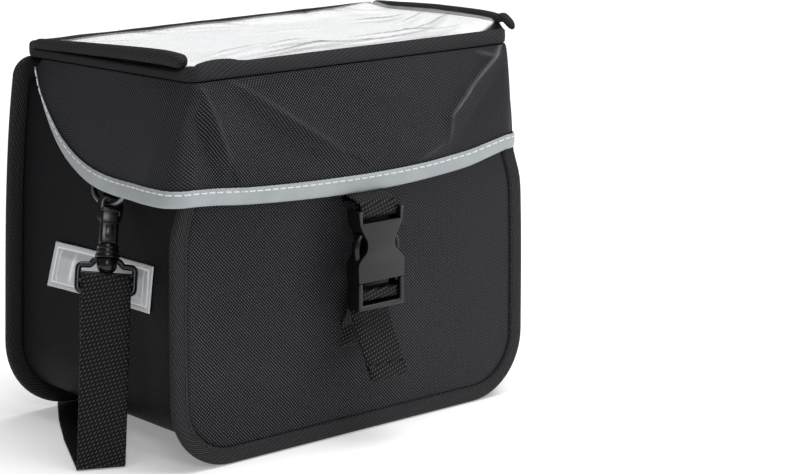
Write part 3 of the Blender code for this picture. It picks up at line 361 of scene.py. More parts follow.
def foam_sheet():
    """White polyethylene foam sheet, 1 mm: matt white with a soft mottle."""
    made, tree, shader = new_finish("white foam sheet", 0.7, specular=0.3)
    place = add(tree, "ShaderNodeTexCoord")
    cloud = add(tree, "ShaderNodeTexNoise", {"Vector": place.outputs["Object"], "Scale": 30.0, "Detail": 2.0})
    tone = add(tree, "ShaderNodeMix", {0: cloud.outputs[0], 6: colour("f6f7f8"), 7: colour("ffffff")},
               data_type="RGBA")
    tree.links.new(tone.outputs[2], shader.inputs["Base Color"])
    return made


def nickel_wire():
    """Nickel plated steel wire: bright grey metal with a faint drawn grain."""
    made, tree, shader = new_finish("nickel plated steel wire", 0.28, metallic=1.0)
    place = add(tree, "ShaderNodeTexCoord")
    grain = add(tree, "ShaderNodeTexNoise", {"Vector": place.outputs["Object"], "Scale": 900.0,
                                               "Detail": 1.0})
    tone = add(tree, "ShaderNodeMix", {0: grain.outputs[0], 6: colour("5c5d60"), 7: colour("86878a")},
               data_type="RGBA")
    tree.links.new(tone.outputs[2], shader.inputs["Base Color"])
    return made


def sewing_thread(name, dark, light):
    """Twisted polyester thread: each ply is about 0.4 mm, seen as faint slanting bands."""
    made, tree, shader = new_finish(name, 0.6, specular=0.4)
    place = add(tree, "ShaderNodeTexCoord")
    twist = add(tree, "ShaderNodeTexWave", {"Vector": place.outputs["Object"], "Scale": 0.314 / THREAD_TWIST},
                bands_direction="DIAGONAL")
    dress(tree, shader, twist.outputs[1], dark, light, 0.1 * MM, 0.4)
    return made


POLYESTER = coated_polyester("coated 600 denier polyester", "75767e", 0.12)
# A darker copy of the cloth for the side walls, with duller dots and less sheen: painted shade
SHADED_SIDE_POLYESTER = coated_polyester("coated polyester, shaded copy for the sides", "4a4a4f", 0.07)
TAPE = twill_tape()
WEAVE = webbing_weave()
ACETAL = moulded_acetal()
TRIM = reflective_tape()
VINYL = reflective_vinyl()
FILM = clear_vinyl()
FOAM = foam_sheet()
NICKEL = nickel_wire()
WHITE_THREAD = sewing_thread("white sewing thread", "cccfd0", "e2e4e5")
BLACK_THREAD = sewing_thread("black sewing thread", "0d0d0e", "2b2b2d")
SLOTS = {"black_polyester": POLYESTER, "twill_tape": TAPE, "webbing": WEAVE, "moulded_plastic": ACETAL,
         "reflective_tape": TRIM, "reflective_vinyl": VINYL, "clear_vinyl": FILM, "white_sheet": FOAM,
         "steel_wire": NICKEL}


# Making pieces


def finished(name, shape, slot, nodes=(), material=None, sharp=None, moved=True):
    """The bmesh as a smooth shaded piece of the bag, standing for its solids."""
    if moved:
        bmesh.ops.translate(shape, verts=shape.verts, vec=(0.0, MIDDLE_Y, 0.0))
    mesh = bpy.data.meshes.new(name)
    shape.to_mesh(mesh)
    shape.free()
    mesh.materials.append(material or SLOTS[slot])
    mesh.shade_smooth()
    if sharp:
        mesh.set_sharp_from_angle(angle=math.radians(sharp))
    piece = bpy.data.objects.new(name, mesh)
    bpy.context.scene.collection.objects.link(piece)
    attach(piece, "root")
    if nodes:
        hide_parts(*nodes)
    return piece


def draped(spot, across, along, flat=None, centre_v=False, mark=None):
    """A grid laid out by spot(column, row), with a UV map in metres and its line marks, if it has any."""
    shape = bmesh.new()
    layer = shape.loops.layers.uv.new("UVMap")
    marks = shape.verts.layers.float.new("mark")
    bmesh.ops.create_grid(shape, x_segments=across, y_segments=along, size=0.5)
    where = {}
    for vert in shape.verts:
        where[vert] = (round((vert.co.x + 0.5) * across), round((vert.co.y + 0.5) * along))
    points = {}
    for vert, key in where.items():
        points[key] = Vector(spot(*key))
        vert.co = points[key]
        vert[marks] = mark(*key) if mark else 0.0
    if flat:
        uv = {vert: (vert.co[flat[0]], vert.co[flat[1]]) for vert in shape.verts}
    else:
        middle_row, middle_column = along // 2, across // 2
        run_u, run_v = [0.0], [0.0]
        for column in range(across):
            run_u.append(run_u[-1] + (points[column + 1, middle_row] - points[column, middle_row]).length)
        for row in range(along):
            run_v.append(run_v[-1] + (points[middle_column, row + 1] - points[middle_column, row]).length)
        start = run_v[-1] / 2 if centre_v else 0.0
        uv = {vert: (run_u[key[0]], run_v[key[1]] - start) for vert, key in where.items()}
    for face in shape.faces:
        for loop in face.loops:
            loop[layer].uv = uv[loop.vert]
    bmesh.ops.remove_doubles(shape, verts=shape.verts, dist=0.00001)
    return shape


def closed(shape):
    """A tube's open ends are filled, and its faces turned outwards."""
    open_edges = [edge for edge in shape.edges if edge.is_boundary]
    if open_edges:
        bmesh.ops.holes_fill(shape, edges=open_edges, sides=0)
    bmesh.ops.recalc_face_normals(shape, faces=shape.faces)
    return shape


def walled(shape, wall, inside):
    """An open sheet given its thickness on the side towards a point inside the bag."""
    shape.normal_update()
    outward = sum(face.normal.dot(face.calc_center_median() - Vector(inside)) * face.calc_area()
                  for face in shape.faces)
    if outward < 0:
        bmesh.ops.reverse_faces(shape, faces=shape.faces)
    bmesh.ops.solidify(shape, geom=shape.faces[:], thickness=wall)
    bmesh.ops.recalc_face_normals(shape, faces=shape.faces)
    return shape


BAG_HEART = (0.0, 0.0, 110 * MM)


# Panels and their tape bindings


def half_width(panel, z):
    """Half a panel's width at a height, drawn in towards its top."""
    low = panel.bottom + panel.radius
    rise = min(max((z - low) / (panel.height - low), 0.0), 1.0)
    return panel.width / 2 - (panel.width - panel.top_width) / 2 * curved(panel.draw, rise)


def right_edge(panel, inset, top_radius):
    """x and z down the right side, from the top edge's end round the lower corner to the bottom."""
    top = panel.height - inset
    points = []
    if top_radius:
        middle = half_width(panel, top - top_radius) - inset - top_radius
        for step in range(9):
            angle = math.radians(90) * (1 - step / 8)
            points.append((middle + top_radius * math.cos(angle),
                           top - top_radius + top_radius * math.sin(angle)))
    high = top - top_radius
    low = panel.bottom + panel.radius
    for step in range(1, 25):
        z = mix(high, low, step / 25)
        points.append((half_width(panel, z) - inset, z))
    radius = panel.radius - inset
    for step in range(17):
        angle = math.radians(90) * step / 16
        points.append((panel.width / 2 - panel.radius + radius * math.cos(angle),
                       low - radius * math.sin(angle)))
    return points


def panel_line(panel, inset):
    """The whole outline of a panel, from the middle of its top edge, round the right side and back."""
    right = right_edge(panel, inset, max(TOP_RADIUS - inset, WALL))
    start, end = right[0], right[-1]
    half = [(start[0] * step / 14, start[1]) for step in range(14)] + right
    half += [(end[0] * (1 - step / 14), end[1]) for step in range(1, 15)]
    return half + [(-x, z) for x, z in reversed(half[:-1])]


def front_face(_, depth):
    """y at a depth behind the upright front, the same at any height."""
    return -BAG_DEPTH / 2 + depth


def back_face(z, depth):
    """y at a depth in front of the back, which leans forwards as it rises."""
    return BAG_DEPTH / 2 - BACK_LEAN * z / BACK.height - depth


# Tape over an edge, inner edge to inner edge: share of its width in from the edge, share of its thickness
TAPE_SECTION = ((1.0, 0.12), (0.93, 0.03), (0.6, 0.0), (0.3, 0.0), (0.14, 0.06), (0.05, 0.2), (0.01, 0.38),
                (0.01, 0.62), (0.05, 0.8), (0.14, 0.94), (0.3, 1.0), (0.6, 1.0), (0.93, 0.97), (1.0, 0.88))


def bound_edge(name, node, panel, face):
    """Tape rolled over the edge of a panel."""
    section = TAPE_SECTION + (TAPE_SECTION[0],)
    lines = [panel_line(panel, inset * BINDING_WIDTH) for inset, _ in section]
    across, along = len(lines[0]) - 1, len(section) - 1

    def spot(column, row):
        x, z = lines[row][column]
        depth = section[row][1] * BINDING_THICK
        return x, face(z, depth), z

    return finished(name, closed(draped(spot, across, along, centre_v=True)), "twill_tape", (node,))


def stiff_panel(name, node, panel, face, crown):
    """A stiffened cloth wall inside its binding, slightly crowned and puffed between its seams."""
    line = panel_line(panel, BINDING_WIDTH - 1.5 * MM)
    sunk = (BINDING_THICK - PANEL_THICK) / 2
    rings = 28
    middle = Vector((0.0, panel.height * 0.5))

    def spot(column, row):
        share = 1 - row / rings
        at = middle.lerp(Vector(line[column]), share)
        puff = 0.5 * MM * noise.noise(Vector((at.x * 22, at.y * 22, crown)))
        swell = crown * (1 - share ** 4) + puff * (1 - share ** 8)
        rolled = 0.7 * MM * smooth((share - 0.965) / 0.035)
        return at.x, face(at.y, sunk + rolled - swell), at.y

    shape = draped(spot, len(line) - 1, rings, flat=(0, 2))
    return finished(name, walled(shape, PANEL_THICK - 0.8 * MM, BAG_HEART), "black_polyester", (node,))


def wall_point(front_point, back_point, share):
    """A point of the side and bottom wall between its front and back lines, drawn in at the sides."""
    inner = BINDING_THICK - 0.6 * MM
    start = Vector((front_point[0], front_face(front_point[1], inner), front_point[1]))
    end = Vector((back_point[0], back_face(back_point[1], inner), back_point[1]))
    point = start.lerp(end, share)
    side = min(max(abs(point.x) / (FRONT.width / 2 - GUSSET_INSET) * 4 - 3, 0.0), 1.0)
    rise = min(max(point.z / BACK.height, 0.0), 1.0)
    pinch = SIDE_PINCH * math.sin(math.pi * share) * math.sin(math.pi * rise) * side
    point.x -= math.copysign(pinch, point.x)
    return point


def side_wall_x(y, z):
    """How far out the side wall stands at a place, on the right."""
    share = 0.5
    low_high = [(FRONT.bottom + FRONT.radius, FRONT.height), (BACK.bottom + BACK.radius, GUSSET_TOP)]
    for _ in range(4):
        low, high = (mix(front, back, share) for front, back in zip(*low_high))
        front_z, back_z = (mix(start, end, (z - low) / (high - low)) for start, end in low_high)
        front_y = front_face(front_z, BINDING_THICK + GAP)
        share = (y - front_y) / (back_face(back_z, BINDING_THICK + GAP) - front_y)
    front_point = (half_width(SIDE_FRONT, front_z) - GUSSET_INSET, front_z)
    return wall_point(front_point, (half_width(BACK, back_z) - GUSSET_INSET, back_z), share).x


def side_and_bottom():
    """One strip of cloth round the right side, the bottom and the left side."""
    lines = []
    for panel, top in ((SIDE_FRONT, FRONT.height), (BACK, GUSSET_TOP)):
        right = right_edge(panel._replace(height=top + GUSSET_INSET), GUSSET_INSET, 0.0)
        bottom = [(right[-1][0] * (1 - step / 20), right[-1][1]) for step in range(1, 21)]
        half = right + bottom
        lines.append(half + [(-x, z) for x, z in reversed(half[:-1])])
    steps = 48

    def spot(column, row):
        share = row / steps
        point = wall_point(lines[0][column], lines[1][column], share)
        still = math.sin(math.pi * share) ** 0.5
        ripple = noise.noise(Vector((point.x * 9, point.y * 16, point.z * 11))) * 1.1 * MM * still
        upright = smooth(abs(point.x) / (FRONT.width / 2) * 3 - 1.6)
        point.x -= math.copysign(abs(ripple) * upright, point.x)
        point.z += abs(ripple) * (1 - upright)
        return point

    shape = draped(spot, len(lines[0]) - 1, steps)
    # The side strip wears the darker copy of the cloth: painted shade
    return finished("side_and_bottom_cloth", walled(shape, WALL, BAG_HEART), "black_polyester", ("gusset",),
                    SHADED_SIDE_POLYESTER)


# Lid and its map window


def lid_half(y):
    """Half the lid's width at a place back from its front."""
    return mix(LID_FRONT_WIDTH, LID_BACK_WIDTH, (y - LID_FRONT_Y) / (LID_BACK_Y - LID_FRONT_Y)) / 2


def lid_line(inset):
    """x and y round the lid, from the middle of the front, round the right side and back."""
    radius = max(LID_RADIUS - inset, WALL)
    front, back = LID_FRONT_Y + inset, LID_BACK_Y - inset
    half = [((lid_half(front + radius) - inset - radius) * step / 20, front) for step in range(20)]
    for step in range(9):
        angle = math.radians(-90 + 90 * step / 8)
        half.append((lid_half(front + radius) - inset - radius + radius * math.cos(angle),
                     front + radius + radius * math.sin(angle)))
    for step in range(1, 30):
        y = mix(front + radius, back - radius, step / 30)
        half.append((lid_half(y) - inset, y))
    for step in range(9):
        angle = math.radians(90 * step / 8)
        half.append((lid_half(back - radius) - inset - radius + radius * math.cos(angle),
                     back - radius + radius * math.sin(angle)))
    half += [(half[-1][0] * (1 - step / 20), half[-1][1]) for step in range(1, 21)]
    return half + [(-x, y) for x, y in reversed(half[:-1])]


FilmEdge = namedtuple("FilmEdge", "front rows")
FILM_EDGES = {  # start behind the lid's front, then share of its length, lift up and out as shares, fatness
    -1: FilmEdge(9 * MM, (
        (0.0, 0.3, 0.0, 1.25), (0.15, 0.45, 0.0, 1.3), (0.5, 0.3, 0.05, 1.15), (1.0, -0.2, 0.0, 1.0))),
    1: FilmEdge(-2.5 * MM, (
        (0.0, -0.6, 1.35, 0.85), (0.035, 0.15, 1.25, 0.9), (0.09, 1.2, 1.1, 0.9), (0.18, 1.5, 1.0, 0.9),
        (0.35, 1.45, 0.8, 0.9), (0.6, 1.15, 0.5, 0.9), (0.85, 0.6, 0.2, 0.9), (1.0, 0.3, 0.0, 0.9)))}
ROLL_WIDTH = 6 * MM
ROLL_HEIGHT = 6.2 * MM
ROLL_LIFT = 4 * MM
ROLL_SETBACK = 7 * MM

RIM_SECTION = (  # share of the rim's width in from its edge, share of its height
    (0.3, 0.0), (0.08, 0.06), (0.0, 0.2), (-0.03, 0.5), (0.0, 0.78), (0.1, 0.93), (0.3, 1.0), (0.62, 1.0),
    (0.85, 0.95), (1.0, 0.8), (1.0, 0.1), (0.3, 0.0))


def rim_height(y):
    """The rim stands tall along the front and lies low along the sides."""
    return mix(RIM_HEIGHT, RIM_SIDE_HEIGHT, smooth((y - LID_FRONT_Y - 0.6 * RIM_STEP) / RIM_STEP))


def rim_top(x, y):
    """The rim's height where it shows: tall again along the back, and loose for a stretch front left."""
    back = RIM_BACK_HEIGHT + 0.8 * MM * x / lid_half(y) + 0.4 * MM * noise.noise(Vector((x * 50, 0, 2)))
    bulge = max(1 - ((x + 96 * MM) / (15 * MM)) ** 2, 0.0) ** 0.6
    loose = 3.4 * MM * bulge * smooth((LID_FRONT_Y + MM - y) / MM + 1)
    return mix(rim_height(y) + loose, back, smooth((y - LID_BACK_Y + 6.5 * MM) / (3 * MM)))


def lid_rim():
    """Tape rolled over the lid's edge, all round it."""
    lines = [lid_line(inset * RIM_WIDTH) for inset, _ in RIM_SECTION]

    def spot(column, row):
        x, y = lines[row][column]
        return x, y, RIM_BOTTOM + RIM_SECTION[row][1] * rim_top(*lines[0][column])

    shape = draped(spot, len(lines[0]) - 1, len(RIM_SECTION) - 1, centre_v=True)
    return finished("lid_rim_tape", closed(shape), "twill_tape", ("lid_rim_binding",))


SHEET_TOP = RIM_BOTTOM + RIM_SIDE_HEIGHT + 1.3 * MM
Fold = namedtuple("Fold", "x y end_x end_y right left rise mark")  # all in mm but the mark, its strength
FILM_FOLDS = tuple(Fold(*row) for row in (
    (-95, -58, -30, -30, 2.5, 9, 1.8, 0.5), (-72, -66, 10, -52, 2.5, 8, 1.5, 0.8),
    (-40, -48, 22, -62, 3, 7, 1.6, 0.8), (-60, -70, 0, -62, 2, 6, 1.0, 0.7),
    (-36, -40, 4, -30, 3, 10, 1.4, 0.6), (40, -72, 84, -68, 2, 6, 1.0, 0.6),
    (-10, -66, 70, -58, 2, 7, 1.4, 0.8), (20, -44, 96, -56, 3, 8, 2.0, 0.8),
    (60, -50, 112, -30, 3, 9, 2.2, 0.7), (80, -20, 118, -8, 2.5, 9, 2.2, 0.5),
    (70, 10, 104, 2, 1.5, 5, 1.6, 0.9), (84, 48, 108, 20, 4, 10, 2.4, 0.35),
    (-62, 62, -42, 44, 2, 6, 1.6, 0.8), (0, 62, 16, 44, 2, 6, 1.8, 0.85),
    (-42, 44, 8, 30, 1.5, 6, 0.9, 0.35), (86, 62, 98, 42, 2, 6, 1.8, 0.8),
    (-110, 40, -70, 24, 2, 8, 1.0, 0.3), (-20, 10, 50, -8, 3, 12, 1.0, 0.2)))


def beside(x, y, fold):
    """Share along a fold and distance off it, positive on its right hand, for x to the right and y down."""
    run_x, run_y = fold.end_x - fold.x, fold.end_y - fold.y
    length = math.hypot(run_x, run_y)
    along = ((x - fold.x) * run_x + (y - fold.y) * run_y) / length ** 2
    clamped = min(max(along, 0.0), 1.0)
    off = math.hypot(x - fold.x - run_x * clamped, y - fold.y - run_y * clamped)
    return clamped, math.copysign(off, run_x * (y - fold.y) - run_y * (x - fold.x))


def crest(x, y, folds):
    """The summed height of long creases at a place, all in millimetres."""
    height = 0.0
    for fold in folds:
        along, off = beside(x, y, fold)
        breadth = fold.right if off > 0 else fold.left
        swell = math.exp(-abs(off / breadth) ** 1.25)
        height += fold.rise * swell * math.sin(math.pi * mix(0.12, 0.88, along))
    return height


def fold_lines(x, y, folds, breadth):
    """The strength of the line marks at a place, each a narrow line along its fold's ridge: painted shade on
    the film, rubbed wear with a painted highlight on the flap.
    """
    strength = 0.0
    for fold in folds:
        along, off = beside(x, y, fold)
        strength += fold.mark * math.exp(-(off / breadth) ** 2) * math.sin(math.pi * mix(0.1, 0.9, along))
    return min(strength, 1.0)


WINDOW_FRONT = LID_FRONT_Y + RIM_WIDTH + GAP
WINDOW_BACK = LID_BACK_Y - RIM_WIDTH - GAP
WINDOW_SIDE = 6.4 * MM


def roll_share(y):
    """How far back along the right roll a place lies."""
    front = LID_FRONT_Y + FILM_EDGES[1].front
    return (y - front) / (LID_BACK_Y - ROLL_SETBACK - front)


def corner_cut(u):
    """How far the white sheet is cut back behind the window's front edge, at its right corner."""
    return 13 * MM * smooth((u - 0.78) / 0.3) ** 1.2


def window_x(u, y):
    """A place across the window; its right edge runs out into the lifted roll."""
    reach = WINDOW_SIDE - ROLL_WIDTH / 2 + ROLL_LIFT * curved(FILM_EDGES[1].rows, roll_share(y), 2)
    return u * (lid_half(y) - WINDOW_SIDE) + reach * smooth((u - 0.85) / 0.15)


def window_rise(u, y):
    """The film and its sheet rise to the taped sides, and in puckers to the rim along the back."""
    v = (y - WINDOW_FRONT) / (WINDOW_BACK - WINDOW_FRONT)
    pucker = (0.8 + 0.8 * u + 0.9 * abs(math.sin(2.1 * math.pi * u - 0.7)) ** 0.5) * MM * smooth(v * 5 - 4)
    height = 3.5 * MM * math.sin(math.pi * mix(0.05, 0.95, min(max(v, 0.0), 1.0)))
    if u > 0:
        lifted = ROLL_LIFT * curved(FILM_EDGES[1].rows, roll_share(y))
        height = (RIM_BOTTOM + rim_height(y) + ROLL_HEIGHT / 2 + lifted - SHEET_TOP) * smooth(v * 12)
    return height * max(abs(u) * 4 - 3, 0.0) ** 2 + pucker


def map_window():
    """Clear film over the white sheet, creased, and drawn up to its taped edges on both sides."""
    across, along = 240, 130

    def place(column, row):
        u, v = 2 * column / across - 1, row / along
        y = mix(WINDOW_FRONT, WINDOW_BACK, v)
        return u, v, window_x(u, y), y

    def spot(column, row):
        u, v, x, y = place(column, row)
        calm = min(min(v, 1 - v) * 10, 1.0) * min((1 - abs(u)) * 12, 1.0)
        ripple = noise.noise(Vector((x * 30, y * 55, 0)))
        lift = (crest(x / MM, y / MM, FILM_FOLDS) + 0.5 + 0.5 * ripple) * MM * calm
        return x, y, SHEET_TOP + 3 * GAP + window_rise(u, y) + lift

    def mark(column, row):
        u, _, x, y = place(column, row)
        streak = 0.5 + 0.5 * noise.noise(Vector((x * 18, y * 160, 4)))
        # Painted grey shade along the film's creases
        crease_shade = 0.75 * min(fold_lines(x / MM, y / MM, FILM_FOLDS, 2.0) * mix(0.6, 1.4, streak), 1.0)
        return max(crease_shade, smooth((corner_cut(u) - y + WINDOW_FRONT) / (2 * MM)))

    shape = draped(spot, across, along, flat=(0, 1), mark=mark)
    return finished("window_film", walled(shape, 0.3 * MM, BAG_HEART), "clear_vinyl", ("map_film",))


def white_sheet():
    """The sheet under the film, cut back at the front right corner."""
    across, along = 120, 80

    def spot(column, row):
        u = mix(-0.995, 0.96, column / across)
        y = mix(WINDOW_FRONT + GAP + corner_cut(u), WINDOW_BACK - GAP, row / along)
        return window_x(u, y), y, SHEET_TOP + window_rise(u, y)

    shape = walled(draped(spot, across, along, flat=(0, 1)), 0.8 * MM, BAG_HEART)
    return finished("white_map_sheet", shape, "white_sheet", ("map_sheet",))


def film_roll(name, node, side):
    """The window's taped edge: a soft roll on the lid's rim, lifting off it on the right."""
    edge = FILM_EDGES[side]
    front, back = LID_FRONT_Y + edge.front, LID_BACK_Y - ROLL_SETBACK
    across, along = 90, 20

    def spot(column, row):
        share = column / across
        y = mix(front, back, share)
        end = min(share, 1 - share) * (back - front) / (4 * MM)
        fat = math.sqrt(max(1 - (1 - min(end, 1.0)) ** 2, 0.02))
        fat *= curved(edge.rows, share, 3) * (1 + 0.05 * noise.noise(Vector((side * 3, y * 60, 0))))
        middle = lid_half(y) - ROLL_WIDTH / 2 + ROLL_LIFT * curved(edge.rows, share, 2)
        rim = rim_height(y) if side > 0 else RIM_SIDE_HEIGHT
        low = RIM_BOTTOM + rim + GAP + ROLL_LIFT * curved(edge.rows, share)
        angle = math.tau * row / along
        out = ROLL_WIDTH / 2 * math.copysign(abs(math.cos(angle)) ** 0.8, math.cos(angle)) * fat
        up = ROLL_HEIGHT / 2 * math.copysign(abs(math.sin(angle)) ** 0.8, math.sin(angle)) * fat
        return side * (middle + out), y, low + ROLL_HEIGHT / 2 * curved(edge.rows, share, 3) + up

    return finished(name, closed(draped(spot, across, along)), "twill_tape", (node,))


# Flap skirt and its trim

FLAP_FOLDS = tuple(Fold(*row) for row in (  # from the middle of the front, y is the depth below the lid
    (-110, 0, -93.6, 44, 6, 26, 5.2, 0.12), (-116, 6, -103, 50, 8, 5, -4.6, 0.0),
    (-90, 0, -14, 47.5, 4.5, 16, 3.6, 0.12), (-94, 6, -24, 56, 7, 5, -2.2, 0.0),
    (116, -6, 78, 25, 2.2, 2.6, 3.2, 0.5), (82, 22, 66, 37, 2.6, 3.0, 3.2, 0.45),
    (67, 35, 65, 52, 3.5, 3.5, 2.0, 0.15), (110, 14, 66, 58, 7, 12, -2.6, 0.0),
    (88, 2, 104, 6, 6, 6, 1.8, 0.2), (62, 52, 40, 60, 8, 6, 1.4, 0.1), (-30, 4, 40, 26, 9, 16, 1.8, 0.0),
    (0, 30, 50, 62, 14, 8, 1.2, 0.0)))
SIDE_FOLDS = tuple(Fold(*row) for row in (  # y is the depth below the lid, x the way back
    (-76, 4, -60, 50, 10, 10, 1.8, 0.0), (-40, 10, 10, 50, 16, 10, 1.2, 0.0),
    (20, 6, 50, 20, 10, 10, 1.0, 0.0)))


def skirt_point(side, column, drop, outward):
    """A point of the skirt: column runs 0 to 3 from the front's middle, past the corner, to the back end."""
    hand = 1 if side < 0 else 2
    radius = mix(SKIRT_TOP_RADIUS, SKIRT_HEM_RADIUS[side], drop)
    flare = SKIRT_FLARE * drop ** FLARE_BOW[side]
    corner_x = LID_FRONT_WIDTH / 2 + flare * FLARE_SIDE[0][hand] + outward
    front_y = LID_FRONT_Y - SKIRT_FRONT_FLARE * (1 - (1 - drop) ** 2) - outward
    back_y = LID_BACK_Y - SKIRT_BACK_SETBACK
    if column <= 1.0:
        share = curved(HEM_FRONT, column, hand)
        x, y = (corner_x - radius) * column, front_y
        depth = SKIRT_DROP * share * drop / MM
        y -= crest(side * x / MM, depth, FLAP_FOLDS) * MM * smooth((1 - drop) * 6) * smooth(drop * 12)
    elif column <= 2.0:
        share = HEM_SIDE[0][hand]
        angle = math.radians(90) * (column - 1)
        x = corner_x - radius + radius * math.sin(angle)
        y = front_y + radius - radius * math.cos(angle)
        near = corner_x - radius
        depth = SKIRT_DROP * share * drop / MM
        push = crest(side * near / MM, depth, FLAP_FOLDS) * MM * smooth((1 - drop) * 6) * smooth(drop * 12)
        y -= push * math.cos(angle) ** 3
    else:
        along = column - 2
        share = curved(HEM_SIDE, along, hand)
        y = mix(front_y + radius, back_y, along)
        x = lid_half(y) + flare * curved(FLARE_SIDE, along, hand) + outward
        x = mix(corner_x, x, smooth(along * 5))
        depth = SKIRT_DROP * share * drop / MM
        push = crest(y / MM, depth, SIDE_FOLDS) * MM * smooth((1 - drop) * 6) * smooth(drop * 12)
        x += push * smooth(along * 8)
    return Vector((side * x, y, RIM_BOTTOM - GAP - SKIRT_DROP * share * drop))


def skirt_columns():
    """Columns from the back end on the right, round the front, to the back end on the left."""
    half = [3 - step / 64 for step in range(64)] + [2 - step / 14 for step in range(14)]
    half += [1 - step / 120 for step in range(120)]
    return [(1, value) for value in half] + [(1, 0.0)] + [(-1, value) for value in reversed(half)]


COLUMNS = skirt_columns()


def flap_cloth():
    """The flap's hanging wall: stiff cloth with creases from its corners, flared at the hem."""
    steps = 72

    def spot(column, row):
        side, value = COLUMNS[column]
        return skirt_point(side, value, row / steps, 0.0)

    def mark(column, row):
        side, value = COLUMNS[column]
        drop = row / steps
        if value > 1:
            return 0.0
        depth = SKIRT_DROP * curved(HEM_FRONT, value, 1 if side < 0 else 2) * drop / MM
        # Ridge lines on the flap: rubbed wear and a painted highlight
        return fold_lines(skirt_point(side, value, drop, 0.0).x / MM, depth, FLAP_FOLDS, 1.0)

    shape = draped(spot, len(COLUMNS) - 1, steps, mark=mark)
    return finished("flap_skirt_cloth", walled(shape, WALL, BAG_HEART), "black_polyester", ("lid_skirt",))


TRIM_START = 1 - TRIM_WIDTH / SKIRT_DROP
TRIM_OUT = 2 * GAP + 1.0 * MM
TRIM_NOTCH = 0.0012  # as a share of the flap's drop


def trim_tape():
    """Reflective tape folded over the flap's hem, its upper edge pinched a little by each stitch."""
    steps = 8

    def spot(column, row):
        side, value = COLUMNS[column]
        share = row / steps
        start = TRIM_START - TRIM_NOTCH * math.sin(column * 1.9) * (1 - share)
        round_over = 0.35 * MM * (abs(2 * share - 1) ** 3)
        return skirt_point(side, value, mix(start, 1.0, share), TRIM_OUT - round_over)

    shape = draped(spot, len(COLUMNS) - 1, steps)
    shape = walled(shape, 0.7 * MM, BAG_HEART)
    return finished("reflective_hem_tape", shape, "reflective_tape", ("hem_trim",))


def cloth_area(piece):
    """The area of one face of a thin sheet."""
    return sum(face.area for face in piece.data.polygons) / 2


def bar_between(shape, start, end, width, height, up):
    """A small rounded bar from one point to another, added to a bmesh."""
    start = Vector(start)
    end = Vector(end)
    along = end - start
    side = Vector(up).cross(along).normalized()
    turned = Matrix((along.normalized(), side, along.normalized().cross(side))).transposed().to_4x4()
    turned.translation = (start + end) / 2
    stretched = turned @ Matrix.Diagonal((along.length, width, height, 1.0))
    made = bmesh.ops.create_cube(shape, size=1.0, matrix=stretched)
    edges = {edge for vert in made["verts"] for edge in vert.link_edges}
    bmesh.ops.bevel(shape, geom=list(edges), offset=min(width, height) * 0.35, offset_type="OFFSET",
                    segments=1, profile=0.5, affect="EDGES", material=-1)


def stitch_line(name, points, length, gap, width, slot, material, outward):
    """Even stitches along a line of points, lying on the cloth."""
    shape = bmesh.new()
    travelled = 0.0
    runs = []
    for start, end in zip(points, points[1:]):
        runs.append((travelled, start, end))
        travelled += (end - start).length

    def at(distance):
        low, high = 0, len(runs) - 1
        while low < high:
            half = (low + high + 1) // 2
            if runs[half][0] <= distance:
                low = half
            else:
                high = half - 1
        begun, start, end = runs[low]
        return start.lerp(end, (distance - begun) / max((end - start).length, 1e-9))

    step = 0.0
    while step + length < travelled:
        first, last = at(step), at(step + length)
        bar_between(shape, first, last, width, width * 0.55, outward((first + last) / 2))
        step += length + gap
    bmesh.ops.recalc_face_normals(shape, faces=shape.faces)
    return finished(name, shape, slot, material=material)


def from_heart(point):
    """Straight out of the flap at a point: sideways at its sides, forwards at its front."""
    flat = Vector((point.x / 130, point.y / 80, 0.0)) * 1000
    return Vector((flat.x ** 3, flat.y ** 3, 0.0)).normalized() if flat.length else Vector((0, -1, 0))


def trim_stitches():
    """The pale seam along the upper edge of the grey tape."""
    points = [skirt_point(side, value, TRIM_START + 2.2 * MM / SKIRT_DROP, TRIM_OUT + 0.1 * MM)
              for side, value in COLUMNS]
    return stitch_line("hem_stitches", points, 4.0 * MM, 1.3 * MM, 0.8 * MM, "reflective_tape", WHITE_THREAD,
                       from_heart)


def binding_stitches(name, panel, face, outward):
    """The seam that holds the tape, just inside its inner edge."""
    sunk = -0.05 * MM
    points = [Vector((x, face(z, sunk), z)) for x, z in panel_line(panel, BINDING_WIDTH - 1.6 * MM)]
    return stitch_line(name, points, 2.6 * MM, 0.9 * MM, 0.55 * MM, "twill_tape", BLACK_THREAD,
                       lambda _: Vector((0, outward, 0)))


# Webbing


def rounded(points, radius, steps=8):
    """A line of points whose inner corners are replaced by short arcs."""
    line = [Vector(point) for point in points]
    made = [line[0]]
    for before, corner, after in zip(line, line[1:], line[2:]):
        back, ahead = (before - corner).normalized(), (after - corner).normalized()
        half = back.angle(ahead) / 2
        if half > math.radians(87):
            made.append(corner)
            continue
        reach = min(radius / math.tan(half), (before - corner).length * 0.48,
                    (after - corner).length * 0.48)
        start, end = corner + back * reach, corner + ahead * reach
        for step in range(steps + 1):
            share = step / steps
            made.append(start.lerp(corner, share).lerp(corner.lerp(end, share), share))
    return made + [line[-1]]


STRAP_SECTION = [(-1.0, 0.0), (-0.985, 0.7), (-0.95, 1.0), (-0.5, 1.0), (0.0, 1.0), (0.5, 1.0), (0.95, 1.0),
                 (0.985, 0.7), (1.0, 0.0), (0.985, -0.7), (0.95, -1.0), (0.5, -1.0), (0.0, -1.0),
                 (-0.5, -1.0),
                 (-0.95, -1.0), (-0.985, -0.7), (-1.0, 0.0)]


def webbing(name, node, points, widths, thickness, bow=0.0):
    """Flat webbing along a line, its width along a direction given at each point."""
    def spot(column, row):
        before, after = points[max(column - 1, 0)], points[min(column + 1, len(points) - 1)]
        across = Vector(widths[column]).normalized()
        normal = (after - before).cross(across).normalized()
        x, y = STRAP_SECTION[row]
        edge = 1 + 0.012 * noise.noise(Vector((column * 0.9, 0, 5)))
        return (points[column] + across * WEBBING / 2 * x * edge
                + normal * (thickness / 2 * y + bow * (1 - x * x)))

    shape = closed(draped(spot, len(points) - 1, len(STRAP_SECTION) - 1, centre_v=True))
    return finished(name, shape, "webbing", (node,))


